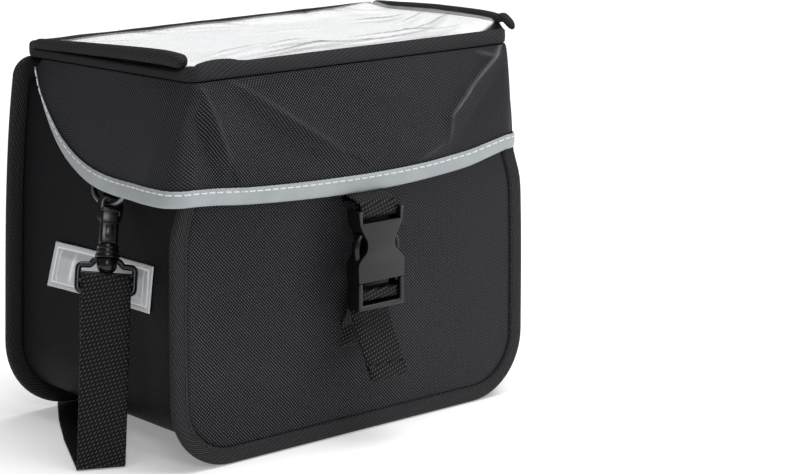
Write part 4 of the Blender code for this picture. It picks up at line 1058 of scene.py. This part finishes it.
def evenly(points, spacing):
    """The same line with points no further apart than a spacing."""
    made = [points[0]]
    for start, end in zip(points, points[1:]):
        count = max(int((end - start).length / spacing), 1)
        made += [start.lerp(end, step / count) for step in range(1, count + 1)]
    return made


PANEL_FACE = front_face(0.0, (BINDING_THICK - PANEL_THICK) / 2)
HEM_MIDDLE = RIM_BOTTOM - GAP - SKIRT_DROP
STRAP_BEND = 1.5 * MM
SEWN_END = 53 * MM
TAIL_END = 39.5 * MM
TAIL_REACH = 26.5 * MM


def flap_webbing():
    """The flap's webbing: out from under the hem, round the socket's bar and back up."""
    layer = STRAP_THICK + GAP
    inner = PANEL_FACE - GAP - STRAP_THICK / 2
    outer = inner - layer
    wrap = BAR_THICK / 2 + GAP + STRAP_THICK / 2
    bar_z = SOCKET_TOP - BAR_THICK / 2
    shelf = HEM_MIDDLE - layer - STRAP_THICK / 2
    top = HEM_MIDDLE + 27 * MM
    hem = LID_FRONT_Y - SKIRT_FRONT_FLARE + WALL + STRAP_THICK
    points = [(0.0, outer, top), (0.0, outer, HEM_MIDDLE + 6 * MM), (0.0, hem, HEM_MIDDLE + GAP),
              (0.0, BUCKLE_Y - wrap, shelf - 1.5 * MM),
              (0.0, BUCKLE_Y - wrap, bar_z - wrap), (0.0, BUCKLE_Y + wrap, bar_z - wrap),
              (0.0, BUCKLE_Y + wrap, shelf - layer), (0.0, inner, shelf - layer),
              (0.0, inner, mix(HEM_MIDDLE, top, 0.5))]
    line = evenly(rounded(points, STRAP_BEND * 1.6), 2 * MM)
    return webbing("flap_webbing", "flap_strap", line, [(1, 0, 0)] * len(line), STRAP_THICK)


def panel_webbing():
    """The front's webbing: sewn on below, round the plug's bar, and a free tail with a folded hem."""
    sewn = PANEL_FACE - GAP - STRAP_THICK / 2
    wrap = BAR_THICK / 2 + GAP + STRAP_THICK / 2
    tail = BUCKLE_Y + BUCKLE_THICK / 2 + GAP + STRAP_THICK / 2
    anchor = tail + STRAP_THICK + GAP
    rim = PLUG_BAR_Z - (PLUG_LENGTH - 2 * PLUG_RIM) / 2
    low = rim - PLUG_RIM
    front = -BAG_DEPTH / 2 - TAIL_REACH
    points = [(0.0, sewn, SEWN_END), (0.0, sewn, mix(SEWN_END, low, 0.5)), (0.0, anchor, low),
              (0.0, anchor, PLUG_BAR_Z),
              (0.0, BUCKLE_Y + wrap, PLUG_BAR_Z + wrap), (0.0, BUCKLE_Y - wrap, PLUG_BAR_Z + wrap),
              (0.0, BUCKLE_Y - wrap, PLUG_BAR_Z - wrap), (0.0, BUCKLE_Y + wrap, PLUG_BAR_Z - wrap),
              (0.0, tail, rim + STRAP_THICK), (0.0, tail, low - STRAP_THICK)]
    for share, reach in ((0.12, 0.09), (0.4, 0.38), (0.7, 0.71), (1.0, 1.0)):
        points.append((0.0, mix(tail, front, reach), mix(low - STRAP_THICK, TAIL_END, share)))
    line = evenly(rounded(points, STRAP_BEND), 2 * MM)
    hem = [point + Vector((0.0, -STRAP_THICK - 0.1 * MM, -0.4 * MM)) for point in line[-5:]]
    webbing("panel_webbing_hem", "panel_strap", hem, [(1, 0, 0)] * len(hem), STRAP_THICK)
    return webbing("panel_webbing", "panel_strap", line, [(1, 0, 0)] * len(line), STRAP_THICK)


# Rings, hooks and strap frames at both sides

RING_WIRE = 3.2 * MM
RING_CENTRE = -18 * MM
RING_BAR_Z = 157 * MM
RING_DROP = 14 * MM
RING_SWING = 4.2 * MM
TAB_LENGTH = 26 * MM
TAB_THICK = 1.2 * MM
RING_BAR_X = (side_wall_x(RING_CENTRE + WEBBING / 2 + RING_WIRE, RING_BAR_Z - RING_DROP / 2)
              + 2 * GAP + TAB_THICK + RING_WIRE / 2)
HOOK_LEAN = (-12.5 * MM, -12 * MM, -42 * MM)
HOOK_THICK = 6.4 * MM
EYE_WALL = 2.8 * MM
EYE_HEIGHT = 15.5 * MM
EYE_TOP = RING_WIRE / 2 + 3 * GAP + EYE_WALL
BARREL_LENGTH = 12.5 * MM
BARREL_WIDTH = 10.3 * MM
COLLAR_RADIUS = 6.8 * MM
COLLAR_HEIGHT = 7.5 * MM
COLLAR_LOW = EYE_TOP - EYE_HEIGHT - BARREL_LENGTH - COLLAR_HEIGHT
FRAME_WIRE = 2.1 * MM
FRAME_HEIGHT = 18 * MM
BOSS_HEIGHT = 2 * FRAME_WIRE + 1.5 * MM
FRAME_TOP = COLLAR_LOW - GAP - BOSS_HEIGHT + 2 * FRAME_WIRE
FRAME_BAR_DROP = 11 * MM
LOOP_WIRE = 1.5 * MM
LOOP_WIDTH = 34 * MM
FOLD_POINT = (-151.5 * MM, -39.5 * MM)
STRAP_ROUTE = (  # x and y of the middle of the strap on the floor
    (-127 * MM, 11.5 * MM), (-104 * MM, 53 * MM), (-80 * MM, 86 * MM), (-43 * MM, 101 * MM), (0.0, 103 * MM))


def ring_line(count):
    """x out, y and z along the ring's wire: a straight bar above and a bowed lower part."""
    half = WEBBING / 2 + RING_WIRE / 2 + GAP
    points = [(RING_BAR_X, RING_CENTRE + half * share, RING_BAR_Z) for share in (0.9, 0.45, 0.0, -0.45, -0.9)]
    for step in range(count + 1):
        angle = math.pi * step / count
        drop = RING_DROP * math.sin(angle) ** 0.55
        points.append((RING_BAR_X + RING_SWING * drop / RING_DROP, RING_CENTRE - half * math.cos(angle),
                       RING_BAR_Z - drop))
    return points


HOOK_POINT = min(ring_line(12)[5:], key=lambda point: abs(point[1] - RING_CENTRE + 5 * MM))


def tube(points, radius_across, radius_up, sides, loop=False, up=(0, 0, 1)):
    """A swept wire of an oval section along a line of points, closed in a loop if asked."""
    line = [Vector(point) for point in points]
    if loop:
        line.append(line[0])
    count = len(line) - 1

    def spot(column, row):
        before = line[column - 1] if column else (line[-2] if loop else line[0])
        after = line[column + 1] if column < count else (line[1] if loop else line[-1])
        ahead = (after - before).normalized()
        side = ahead.cross(Vector(up))
        side = side.normalized() if side.length > 1e-6 else Vector((1, 0, 0))
        top = side.cross(ahead).normalized()
        angle = math.tau * row / sides
        return line[column] + side * radius_across * math.cos(angle) + top * radius_up * math.sin(angle)

    return closed(draped(spot, count, sides))


def d_ring(name, node, side):
    """A ring of thick wire, hanging by its straight bar."""
    points = [Vector((side * x, y, z)) for x, y, z in ring_line(40)]
    shape = tube(evenly(points, 2 * MM), RING_WIRE / 2, RING_WIRE / 2, 14, loop=True, up=(1, 0, 0))
    return finished(name, shape, "steel_wire", (node,))


def ring_tab(name, node, side):
    """A loop of webbing sewn to the side wall, round the ring's bar."""
    wrap = RING_WIRE / 2 + GAP + TAB_THICK / 2
    top = RING_BAR_Z + TAB_LENGTH
    middle = mix(RING_BAR_Z, top, 0.45)
    high, waist = (side_wall_x(RING_CENTRE + WEBBING / 2, z) + 3 * GAP + TAB_THICK / 2 for z in (top, middle))
    layer = TAB_THICK + GAP
    points = [(high, top), (waist, middle),
              (RING_BAR_X - wrap, RING_BAR_Z + wrap * 0.5), (RING_BAR_X - wrap * 0.8, RING_BAR_Z - wrap),
              (RING_BAR_X + wrap * 0.8, RING_BAR_Z - wrap), (RING_BAR_X + wrap, RING_BAR_Z + wrap * 0.5),
              (waist + layer, middle), (high + layer, top)]
    line = evenly(rounded([(side * x, RING_CENTRE, z) for x, z in points], 1.6 * MM), 2 * MM)
    return webbing(name, node, line, [(0, 1, 0)] * len(line), TAB_THICK)


def across_floor():
    """The direction across the strap where it starts along the floor, from its fold."""
    start = STRAP_ROUTE[0]
    run_flat = Vector((start[0] - FOLD_POINT[0], start[1] - FOLD_POINT[1], 0.0)).normalized()
    return Vector((run_flat.y, -run_flat.x, 0.0))


def hook_matrix(side):
    """A frame on the hook's leaning axis: its X runs along the strap bar, its Z up the hook."""
    along = -Vector(HOOK_LEAN).normalized()
    width = across_floor()
    width = (width - along * width.dot(along)).normalized()
    turned = Matrix((width, along.cross(width), along)).transposed().to_4x4()
    turned.translation = Vector((-HOOK_POINT[0], HOOK_POINT[1], HOOK_POINT[2]))
    if side > 0:
        flip = Matrix.Diagonal((-1.0, 1.0, 1.0, 1.0))
        turned = flip @ turned @ flip
    return turned


def add_box(shape, size, centre, bevel, segments=3):
    """A box with rounded edges, added to a bmesh."""
    stretched = Matrix.Translation(centre) @ Matrix.Diagonal((*size, 1.0))
    made = bmesh.ops.create_cube(shape, size=1.0, matrix=stretched)
    if bevel:
        edges = {edge for vert in made["verts"] for edge in vert.link_edges}
        bmesh.ops.bevel(shape, geom=list(edges), offset=bevel, offset_type="OFFSET", segments=segments,
                        profile=0.5, affect="EDGES", material=-1)


def turned_profile(shape, rows, steps=40):
    """A turned solid from rows of radius and height, on the Z axis."""
    line = [(0.0, rows[0][1])] + list(rows) + [(0.0, rows[-1][1])]
    verts = [shape.verts.new((radius, 0.0, z)) for radius, z in line]
    edges = [shape.edges.new(pair) for pair in zip(verts, verts[1:])]
    bmesh.ops.spin(shape, geom=verts + edges, cent=(0, 0, 0), axis=(0, 0, 1), angle=math.tau, steps=steps,
                   use_merge=True)
    bmesh.ops.remove_doubles(shape, verts=shape.verts, dist=0.00001)


def rounded_loop(width, height, radius, steps=8):
    """Points round a rounded rectangle in x and z."""
    points = []
    for corner, (sx, sz) in enumerate(((1, 1), (-1, 1), (-1, -1), (1, -1))):
        for step in range(steps + 1):
            angle = math.radians(90 * corner + 90 * step / steps)
            points.append(Vector((sx * (width / 2 - radius) + radius * math.cos(angle), 0.0,
                                  sz * (height / 2 - radius) + radius * math.sin(angle))))
    return evenly(points + [points[0]], 2 * MM)[:-1]


def placed(shape, turned):
    """A shape modelled on the hook's axis, moved to its side of the bag."""
    bmesh.ops.transform(shape, matrix=turned, verts=shape.verts)
    bmesh.ops.recalc_face_normals(shape, faces=shape.faces)
    return shape


def joined(shapes):
    """Several bmeshes as one."""
    made = bmesh.new()
    for shape in shapes:
        mesh = bpy.data.meshes.new("passing")
        shape.to_mesh(mesh)
        shape.free()
        made.from_mesh(mesh)
        bpy.data.meshes.remove(mesh)
    return made


def swivel_hook(name, node, side):
    """A moulded hook: oval eye with a sprung gate, flat barrel, ringed collar and headed pin."""
    eye = tube([point + Vector((0, 0, EYE_TOP - EYE_HEIGHT / 2)) for point in
                rounded_loop(BARREL_WIDTH + 0.8 * MM - EYE_WALL, EYE_HEIGHT - EYE_WALL, 3.4 * MM)],
               HOOK_THICK / 2 * 0.9, EYE_WALL / 2, 12, loop=True, up=(0, 1, 0))
    body = bmesh.new()
    eye_low = EYE_TOP - EYE_HEIGHT
    add_box(body, (BARREL_WIDTH, HOOK_THICK, BARREL_LENGTH + EYE_WALL * 0.7),
            (0, 0, eye_low - (BARREL_LENGTH - EYE_WALL * 0.7) / 2), 1.7 * MM, 4)
    shoulder = eye_low + 6.5 * MM
    add_box(body, (BARREL_WIDTH, HOOK_THICK, shoulder - eye_low + 4 * MM),
            (0, 0, (shoulder + eye_low) / 2), 1.5 * MM, 3)
    add_box(body, (BARREL_WIDTH + 0.5 * MM, HOOK_THICK + 0.5 * MM, 1.2 * MM), (0, 0, shoulder), 0.4 * MM, 2)
    add_box(body, (BARREL_WIDTH * 0.42, 1.0 * MM, BARREL_LENGTH * 0.6),
            (0, -HOOK_THICK / 2, eye_low - BARREL_LENGTH * 0.4), 0.4 * MM, 2)
    add_box(body, (2.2 * MM, 3.2 * MM, 3.4 * MM),
            (BARREL_WIDTH / 2 - 0.2 * MM, -HOOK_THICK / 2 + 1 * MM, eye_low + 5 * MM), 0.8 * MM, 3)
    collar = bmesh.new()
    high = COLLAR_LOW + COLLAR_HEIGHT
    rows = []
    for step in range(3):
        top = high - step * COLLAR_HEIGHT / 3
        low = top - COLLAR_HEIGHT / 3
        wide = COLLAR_RADIUS - (2 - step) * 0.45 * MM
        rows += [(wide - 0.55 * MM, top), (wide - 0.1 * MM, top - 0.25 * MM), (wide, top - 0.7 * MM),
                 (wide, low + 0.6 * MM), (wide - 0.2 * MM, low + 0.15 * MM),
                 (wide - 0.7 * MM, low + 0.02 * MM)]
    turned_profile(collar, [(rows[0][0] * 0.8, high)] + rows)
    pin = bmesh.new()
    low = COLLAR_LOW - BOSS_HEIGHT - 3 * GAP
    turned_profile(pin, [(2.1 * MM, COLLAR_LOW + 0.3 * MM), (2.1 * MM, low), (3.3 * MM, low - 0.1 * MM),
                         (3.3 * MM, low - 0.8 * MM), (2.6 * MM, low - 1.4 * MM)], 24)
    made = joined([eye, body, collar, pin])
    return finished(name, placed(made, hook_matrix(side)), "moulded_plastic", (node,), sharp=50)


def strap_loop(name, node, side):
    """The rectangular loop under the hook: a boss for its pin, rounded arms and the strap's bar."""
    wide, low = LOOP_WIDTH / 2 - LOOP_WIRE, FRAME_TOP - FRAME_HEIGHT + LOOP_WIRE
    high = FRAME_TOP - LOOP_WIRE
    neck = COLLAR_RADIUS * 0.85
    line = rounded([(0, 0, high + 2.4 * MM), (neck + 1 * MM, 0, high + 2.2 * MM),
                    (neck + 3.2 * MM, 0, high - 0.6 * MM), (wide, 0, high - 0.8 * MM), (wide, 0, low),
                    (0, 0, low)], 2.6 * MM, 5)
    mirrored = [Vector((-point.x, 0, point.z)) for point in reversed(line[:-1])]
    round_loop = evenly(line + mirrored, 1.5 * MM)[:-1]
    frame_loop = tube(round_loop, LOOP_WIRE * 1.15, LOOP_WIRE, 16, loop=True, up=(0, 1, 0))
    bars = []
    for bar_z, wire in ((FRAME_TOP - FRAME_BAR_DROP, LOOP_WIRE), (high - 5.2 * MM, LOOP_WIRE * 0.75)):
        bars.append(tube([Vector((x * wide, 0.0, bar_z)) for x in (-1, -0.5, 0, 0.5, 1)], wire, wire, 16))
    boss = bmesh.new()
    low, high = FRAME_TOP - 2 * FRAME_WIRE - 1.5 * MM, FRAME_TOP - 2 * FRAME_WIRE + BOSS_HEIGHT
    turned_profile(boss, [(neck * 0.55, low), (neck * 0.8, low + 0.8 * MM), (neck * 0.95, low + 2.4 * MM),
                          (neck, high - 1.2 * MM), (neck - 0.5 * MM, high)])
    made = joined([frame_loop, *bars, boss])
    return finished(name, placed(made, hook_matrix(side)), "moulded_plastic", (node,), sharp=50)


# Shoulder strap


def smooth_route(points, steps):
    """A smooth line through the points, from the first to the last, level at the last."""
    line = [Vector(points[0]) * 2 - Vector(points[1])] + [Vector(point) for point in points]
    line.append(Vector(points[-2]) * Vector((-1, 1)))
    made = []
    for before, start, end, after in zip(line, line[1:], line[2:], line[3:]):
        for step in range(steps):
            share = step / steps
            made.append(0.5 * (2 * start + (end - before) * share
                               + (2 * before - 5 * start + 4 * end - after) * share ** 2
                               + (3 * start - before - 3 * end + after) * share ** 3))
    return made + [Vector(points[-1])]


def shoulder_webbing():
    """One length of webbing: round each loop's bar, down to a fold on the floor and round behind the bag."""
    turned = hook_matrix(-1)
    bar = turned @ Vector((0.0, 0.0, FRAME_TOP - FRAME_BAR_DROP))
    across, depth, along = (turned.to_3x3().col[index] for index in range(3))
    wrap = FRAME_WIRE + 2 * GAP + STRAP_THICK / 2
    floor_across = across_floor()
    fold = Vector((*FOLD_POINT, STRAP_THICK / 2))
    rise = (bar - depth * wrap - fold).normalized()
    sewn = bar + depth * (wrap - 0.6 * MM) - rise * 32 * MM
    sewn -= depth * (sewn - (fold + rise * (sewn - fold).dot(rise))).dot(depth)
    sewn += depth * (STRAP_THICK + GAP)
    loop = [sewn, bar + depth * wrap - along * wrap * 2.2, bar + depth * wrap,
            bar + depth * wrap + along * wrap, bar - depth * wrap + along * wrap, bar - depth * wrap, fold]
    end = Vector((*STRAP_ROUTE[0], STRAP_THICK / 2))
    upper = evenly(rounded([*loop, end], 2.4 * MM)[:-1], 3 * MM)
    widths = [across.lerp(floor_across, smooth((bar.z - point.z) / bar.z)) for point in upper]
    floor_line = smooth_route(STRAP_ROUTE, 14)
    for index, spot in enumerate(floor_line):
        before = floor_line[max(index - 1, 0)]
        after = floor_line[min(index + 1, len(floor_line) - 1)]
        last = index + 1 == len(floor_line)
        heading = Vector((1.0, 0.0)) if last else (after - before).normalized()
        upper.append(Vector((spot.x, spot.y, STRAP_THICK / 2)))
        widths.append(Vector((heading.y, -heading.x, 0.0)))
    mirror = Vector((-1, 1, 1))
    points = upper + [point * mirror for point in reversed(upper[:-1])]
    widths = widths + [width * mirror for width in reversed(widths[:-1])]
    route = [point + Vector((0.0, MIDDLE_Y, 0.0)) for point in points]
    return webbing("shoulder_webbing", "shoulder_strap", points, widths, STRAP_THICK), route


# Side patches

PATCH_FRONT = -50 * MM
PATCH_BACK = 37 * MM
PATCH_LOW = 84.5 * MM
PATCH_HEIGHT = 27.5 * MM
PATCH_SKEW = 9 * MM
PATCH_LIP = 3.2 * MM


def side_patch(name, node, side):
    """A welded vinyl patch: a raised outer edge, a pressed weld line inside it and a puffed middle."""
    across, along = 174, 56
    length = PATCH_BACK - PATCH_FRONT

    def edges(column, row):
        share, rise = column / across, row / along
        end = min(share * length, (1 - share) * length)
        return share, rise, end, min(end, rise * PATCH_HEIGHT, (1 - rise) * PATCH_HEIGHT)

    def bubble(share, rise):
        """A lens shaped blister under the skin, near the rear end. Its line mark is a painted highlight."""
        ridge = math.exp(-((share - 0.79 + 0.02 * rise) * length / (1.5 * MM)) ** 2)
        return ridge * smooth(1.4 - 3.4 * abs(rise - 0.5))

    def spot(column, row):
        share, rise, end, edge = edges(column, row)
        z = PATCH_LOW + PATCH_HEIGHT * rise
        y = mix(PATCH_FRONT, PATCH_BACK, share) + PATCH_SKEW * (1 - rise) * mix(0.45, 1.0, share)
        raised = 0.55 * smooth(edge / (0.5 * MM))
        raised -= 0.5 * math.exp(-((edge - PATCH_LIP) / (0.5 * MM)) ** 2)
        weld = math.exp(-((end - 2.2 * PATCH_LIP) / (0.5 * MM)) ** 2)
        raised -= 0.4 * weld * smooth((edge - PATCH_LIP) / MM)
        raised += 0.9 * smooth((edge - PATCH_LIP) / (6 * MM)) + 0.7 * bubble(share, rise)
        return side * (side_wall_x(y, z) + 0.6 * MM + raised * MM), y, z

    def mark(column, row):
        share, rise, end, edge = edges(column, row)
        weld = math.exp(-((edge - PATCH_LIP) / (0.55 * MM)) ** 2) * 0.8
        rim = math.exp(-(edge / (0.5 * MM)) ** 2) * 0.7
        inner = smooth((edge - PATCH_LIP) / MM)
        lines = math.exp(-((end - 2.2 * PATCH_LIP) / (0.5 * MM)) ** 2) * 0.55
        lines += 0.3 * max(noise.noise(Vector((share * 70, rise * 1.5, 1))), 0.0) * smooth(1 - 5 * share)
        # The blister's share of the mark is a painted highlight
        return min(weld + rim + inner * (lines + 0.8 * bubble(share, rise)), 1.0)

    shape = walled(draped(spot, across, along, flat=(1, 2), mark=mark), 0.5 * MM, (0.0, 0.0, 95 * MM))
    return finished(name, shape, "reflective_vinyl", (node,))


# Buckle

SOCKET_WALL = 2.4 * MM
BUCKLE_EDGE = 1.1 * MM
WAIST = (  # share of the socket length from its lower end, share of the half width
    (0.0, 1.0), (0.27, 1.0), (0.35, 0.84), (0.42, 0.66), (0.5, 0.6), (0.58, 0.63), (0.68, 0.77), (0.8, 0.93),
    (0.88, 0.96), (1.0, 1.0))


def solid_object(shape):
    """A closed bmesh as a passing object for a cut or a join."""
    bmesh.ops.recalc_face_normals(shape, faces=shape.faces)
    mesh = bpy.data.meshes.new("passing")
    shape.to_mesh(mesh)
    shape.free()
    made = bpy.data.objects.new("passing", mesh)
    bpy.context.scene.collection.objects.link(made)
    return made


def carved(shape, steps, bevel, segments=3):
    """A solid cut by or joined to others in turn, its edges then rounded."""
    body = solid_object(shape)
    others = []
    for operation, other in steps:
        tool = solid_object(other)
        others.append(tool)
        change = body.modifiers.new("shape", "BOOLEAN")
        change.operation = operation
        change.solver = "EXACT"
        change.object = tool
    if bevel:
        edges = body.modifiers.new("edges", "BEVEL")
        edges.width = bevel
        edges.segments = segments
        edges.limit_method = "ANGLE"
        edges.angle_limit = math.radians(40)
    bpy.context.view_layer.update()
    made = bmesh.new()
    evaluated = body.evaluated_get(bpy.context.evaluated_depsgraph_get())
    made.from_mesh(evaluated.to_mesh())
    evaluated.to_mesh_clear()
    for thing in [body, *others]:
        mesh = thing.data
        bpy.data.objects.remove(thing)
        bpy.data.meshes.remove(mesh)
    return made


def simple_box(size, centre, bevel=0.0, segments=2):
    """A box by itself, to be cut, joined or cut with."""
    shape = bmesh.new()
    add_box(shape, size, centre, bevel, segments)
    return shape


def waisted_plate(low, high, inset, y_back, y_front, steps=44):
    """A plate with the socket's waisted outline, extruded along Y."""
    shape = bmesh.new()
    right = []
    for step in range(steps + 1):
        rise = mix(low, high, step / steps)
        right.append((BUCKLE_WIDTH / 2 * curved(WAIST, rise) - inset, SOCKET_BOTTOM + SOCKET_LENGTH * rise))
    line = right + [(-x, z) for x, z in reversed(right)]
    base = shape.faces.new([shape.verts.new((x, y_back, z)) for x, z in line])
    lifted = bmesh.ops.extrude_face_region(shape, geom=[base])
    moved = [item for item in lifted["geom"] if isinstance(item, bmesh.types.BMVert)]
    bmesh.ops.translate(shape, verts=moved, vec=(0.0, y_front - y_back, 0.0))
    return shape


def buckle_socket():
    """The upper half of the buckle: waisted sides, a hollow below, a slot and bar for the flap's webbing."""
    back, front = BUCKLE_Y + BUCKLE_THICK / 2, BUCKLE_Y - BUCKLE_THICK / 2
    slot_width = WEBBING + 2 * GAP
    slot_height = BAR_THICK + 2 * (STRAP_THICK + GAP)
    steps = [("DIFFERENCE", simple_box((slot_width, BUCKLE_THICK * 2, slot_height * 2),
                                       (0, BUCKLE_Y, SOCKET_TOP))),
             ("UNION", simple_box((BUCKLE_WIDTH - PLUG_RIM, BAR_THICK, BAR_THICK),
                                  (0, BUCKLE_Y, SOCKET_TOP - BAR_THICK / 2), 0.8 * MM)),
             ("DIFFERENCE", simple_box((BUCKLE_WIDTH - 2 * SOCKET_WALL, BUCKLE_THICK - 2 * SOCKET_WALL,
                                        SOCKET_LENGTH * 1.36), (0, BUCKLE_Y, SOCKET_BOTTOM)))]
    made = carved(waisted_plate(0.0, 1.0, 0.0, back, front), steps, BUCKLE_EDGE)
    return finished("buckle_socket_body", made, "moulded_plastic", ("buckle_socket",), sharp=35)


def buckle_plug():
    """The lower half of the buckle: a frame open at its top, a bar, and two prongs shown at the waist."""
    steps = [("DIFFERENCE", simple_box((WEBBING + 2 * GAP, BUCKLE_THICK * 2, PLUG_LENGTH),
                                       (0, BUCKLE_Y, PLUG_BAR_Z + PLUG_RIM))),
             ("UNION", simple_box((BUCKLE_WIDTH - PLUG_RIM, BAR_THICK, BAR_THICK),
                                  (0, BUCKLE_Y, PLUG_BAR_Z), 0.8 * MM))]
    block = simple_box((BUCKLE_WIDTH, BUCKLE_THICK, PLUG_LENGTH), (0, BUCKLE_Y, PLUG_BAR_Z))
    body = carved(block, steps, BUCKLE_EDGE)
    prongs = []
    for side in (-1, 1):
        points = []
        for share, out in ((0.0, 14.8), (0.12, 14.0), (0.26, 13.6), (0.38, 13.9), (0.47, 14.5), (0.56, 14.4),
                           (0.64, 13.2), (0.7, 11.6)):
            height = SOCKET_BOTTOM - 2.5 * MM + SOCKET_LENGTH * share
            points.append(Vector((side * out * MM, BUCKLE_Y, height)))
        prongs.append(tube(evenly(points, 1.5 * MM), BUCKLE_THICK * 0.27, 1.9 * MM, 12, up=(1, 0, 0)))
    made = joined([body, *prongs])
    return finished("buckle_plug_body", made, "moulded_plastic", ("buckle_plug",), sharp=35)


# The whole bag

stiff_panel("front_wall", "front_panel", FRONT, front_face, 1.2 * MM)
stiff_panel("back_wall", "back_panel", BACK, back_face, 0.8 * MM)
bound_edge("front_edge_tape", "front_binding", FRONT, front_face)
bound_edge("back_edge_tape", "back_binding", BACK, back_face)
wall_strip = side_and_bottom()
lid_rim()
film = map_window()
sheet = white_sheet()
film_roll("window_edge_left", "film_binding_left", -1)
film_roll("window_edge_right", "film_binding_right", 1)
flap = flap_cloth()
trim = trim_tape()
trim_stitches()
binding_stitches("front_seam_stitches", FRONT, front_face, -1)
binding_stitches("back_seam_stitches", BACK, back_face, 1)
flap_webbing()
panel_webbing()
buckle_socket()
buckle_plug()
for label, hand in (("left", -1), ("right", 1)):
    d_ring(f"wire_ring_{label}", f"d_ring_{label}", hand)
    ring_tab(f"ring_loop_{label}", f"ring_tab_{label}", hand)
    swivel_hook(f"swivel_hook_{label}", f"snap_hook_{label}", hand)
    strap_loop(f"strap_loop_{label}", f"strap_frame_{label}", hand)
    side_patch(f"side_patch_{label}", f"side_reflector_{label}", hand)
strap, route = shoulder_webbing()

flap_length = LID_FRONT_WIDTH + 2 * (LID_BACK_Y - LID_FRONT_Y - SKIRT_BACK_SETBACK)
cloth_area(flap) / flap_length
length = sum((after - before).length for before, after in zip(route, route[1:]))
tuple(route[0])
[tuple(point) for point in route]

for node, finish in (("lid_panel", POLYESTER), ("adapter_plate", ACETAL)):
    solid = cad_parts[node]
    solid.data.materials.clear()
    solid.data.materials.append(finish)


# Camera, floor and light


def aim(thing, place, target):
    """Turn a lamp or the camera towards a point, level with the horizon."""
    thing.location = place
    back = (Vector(place) - Vector(target)).normalized()
    thing.rotation_euler = back.to_track_quat("Z", "Y").to_euler()


camera = bpy.data.objects.new("camera", bpy.data.cameras.new("camera"))
bpy.context.scene.collection.objects.link(camera)
CAMERA_PLACE = (-829.8 * MM, -1079.6 * MM + MIDDLE_Y, 413.8 * MM)
CAMERA_TARGET = (99.7 * MM, MIDDLE_Y, 86.9 * MM)
aim(camera, CAMERA_PLACE, CAMERA_TARGET)
camera.data.lens = 105.55
camera.data.sensor_width = 36.0
camera.data.clip_start = 0.05
bpy.context.scene.camera = camera


def studio_finish(name, hex_code):
    """Matt studio paper that glows three times as much 2 m from the middle, so that it stays white there."""
    made, tree, shader = new_finish(name, 0.9, specular=0.1)
    shader.inputs["Base Color"].default_value = colour(hex_code)
    shader.inputs["Emission Color"].default_value = colour(hex_code)
    place = add(tree, "ShaderNodeTexCoord")
    away = add(tree, "ShaderNodeVectorMath", {0: place.outputs["Object"]}, operation="LENGTH")
    glow = add(tree, "ShaderNodeMapRange", {0: away.outputs["Value"], 1: 0.5, 2: 2.0, 3: 0.25, 4: 0.75})
    tree.links.new(glow.outputs[0], shader.inputs["Emission Strength"])
    return made


FLOOR_DROP = 0.2 * MM


def studio_floor():
    """A plain pale floor, wide enough to fill the view."""
    shape = bmesh.new()
    bmesh.ops.create_grid(shape, x_segments=8, y_segments=8, size=6.0)
    mesh = bpy.data.meshes.new("studio_floor")
    shape.to_mesh(mesh)
    shape.free()
    mesh.materials.append(studio_finish("pale studio paper", "fbfbfb"))
    floor = bpy.data.objects.new("studio_floor", mesh)
    bpy.context.scene.collection.objects.link(floor)
    floor.location.z = -FLOOR_DROP


studio_floor()


def soft_box(name, place, target, size, power):
    """A square area lamp."""
    lamp = bpy.data.lights.new(name, "AREA")
    lamp.shape = "SQUARE"
    lamp.size = size
    lamp.energy = power
    made = bpy.data.objects.new(name, lamp)
    bpy.context.scene.collection.objects.link(made)
    aim(made, place, target)


soft_box("top_box", (0.3, -0.3, 1.9), (0.0, 0.0, 0.1), 1.6, 36.0)
soft_box("front_right_box", (1.25, -1.4, 0.5), (0.0, 0.0, 0.1), 0.8, 8.0)
soft_box("camera_side_box", (-0.9, -1.35, 1.0), (0.0, -0.05, 0.1), 0.4, 5.0)

world = bpy.data.worlds.new("white studio")
bpy.context.scene.world = world
world.use_nodes = True
world.node_tree.nodes["Background"].inputs["Color"].default_value = (1.0, 1.0, 1.0, 1.0)
world.node_tree.nodes["Background"].inputs["Strength"].default_value = 0.22
# The standard view keeps the paper white and the cloth black
bpy.context.scene.view_settings.view_transform = "Standard"
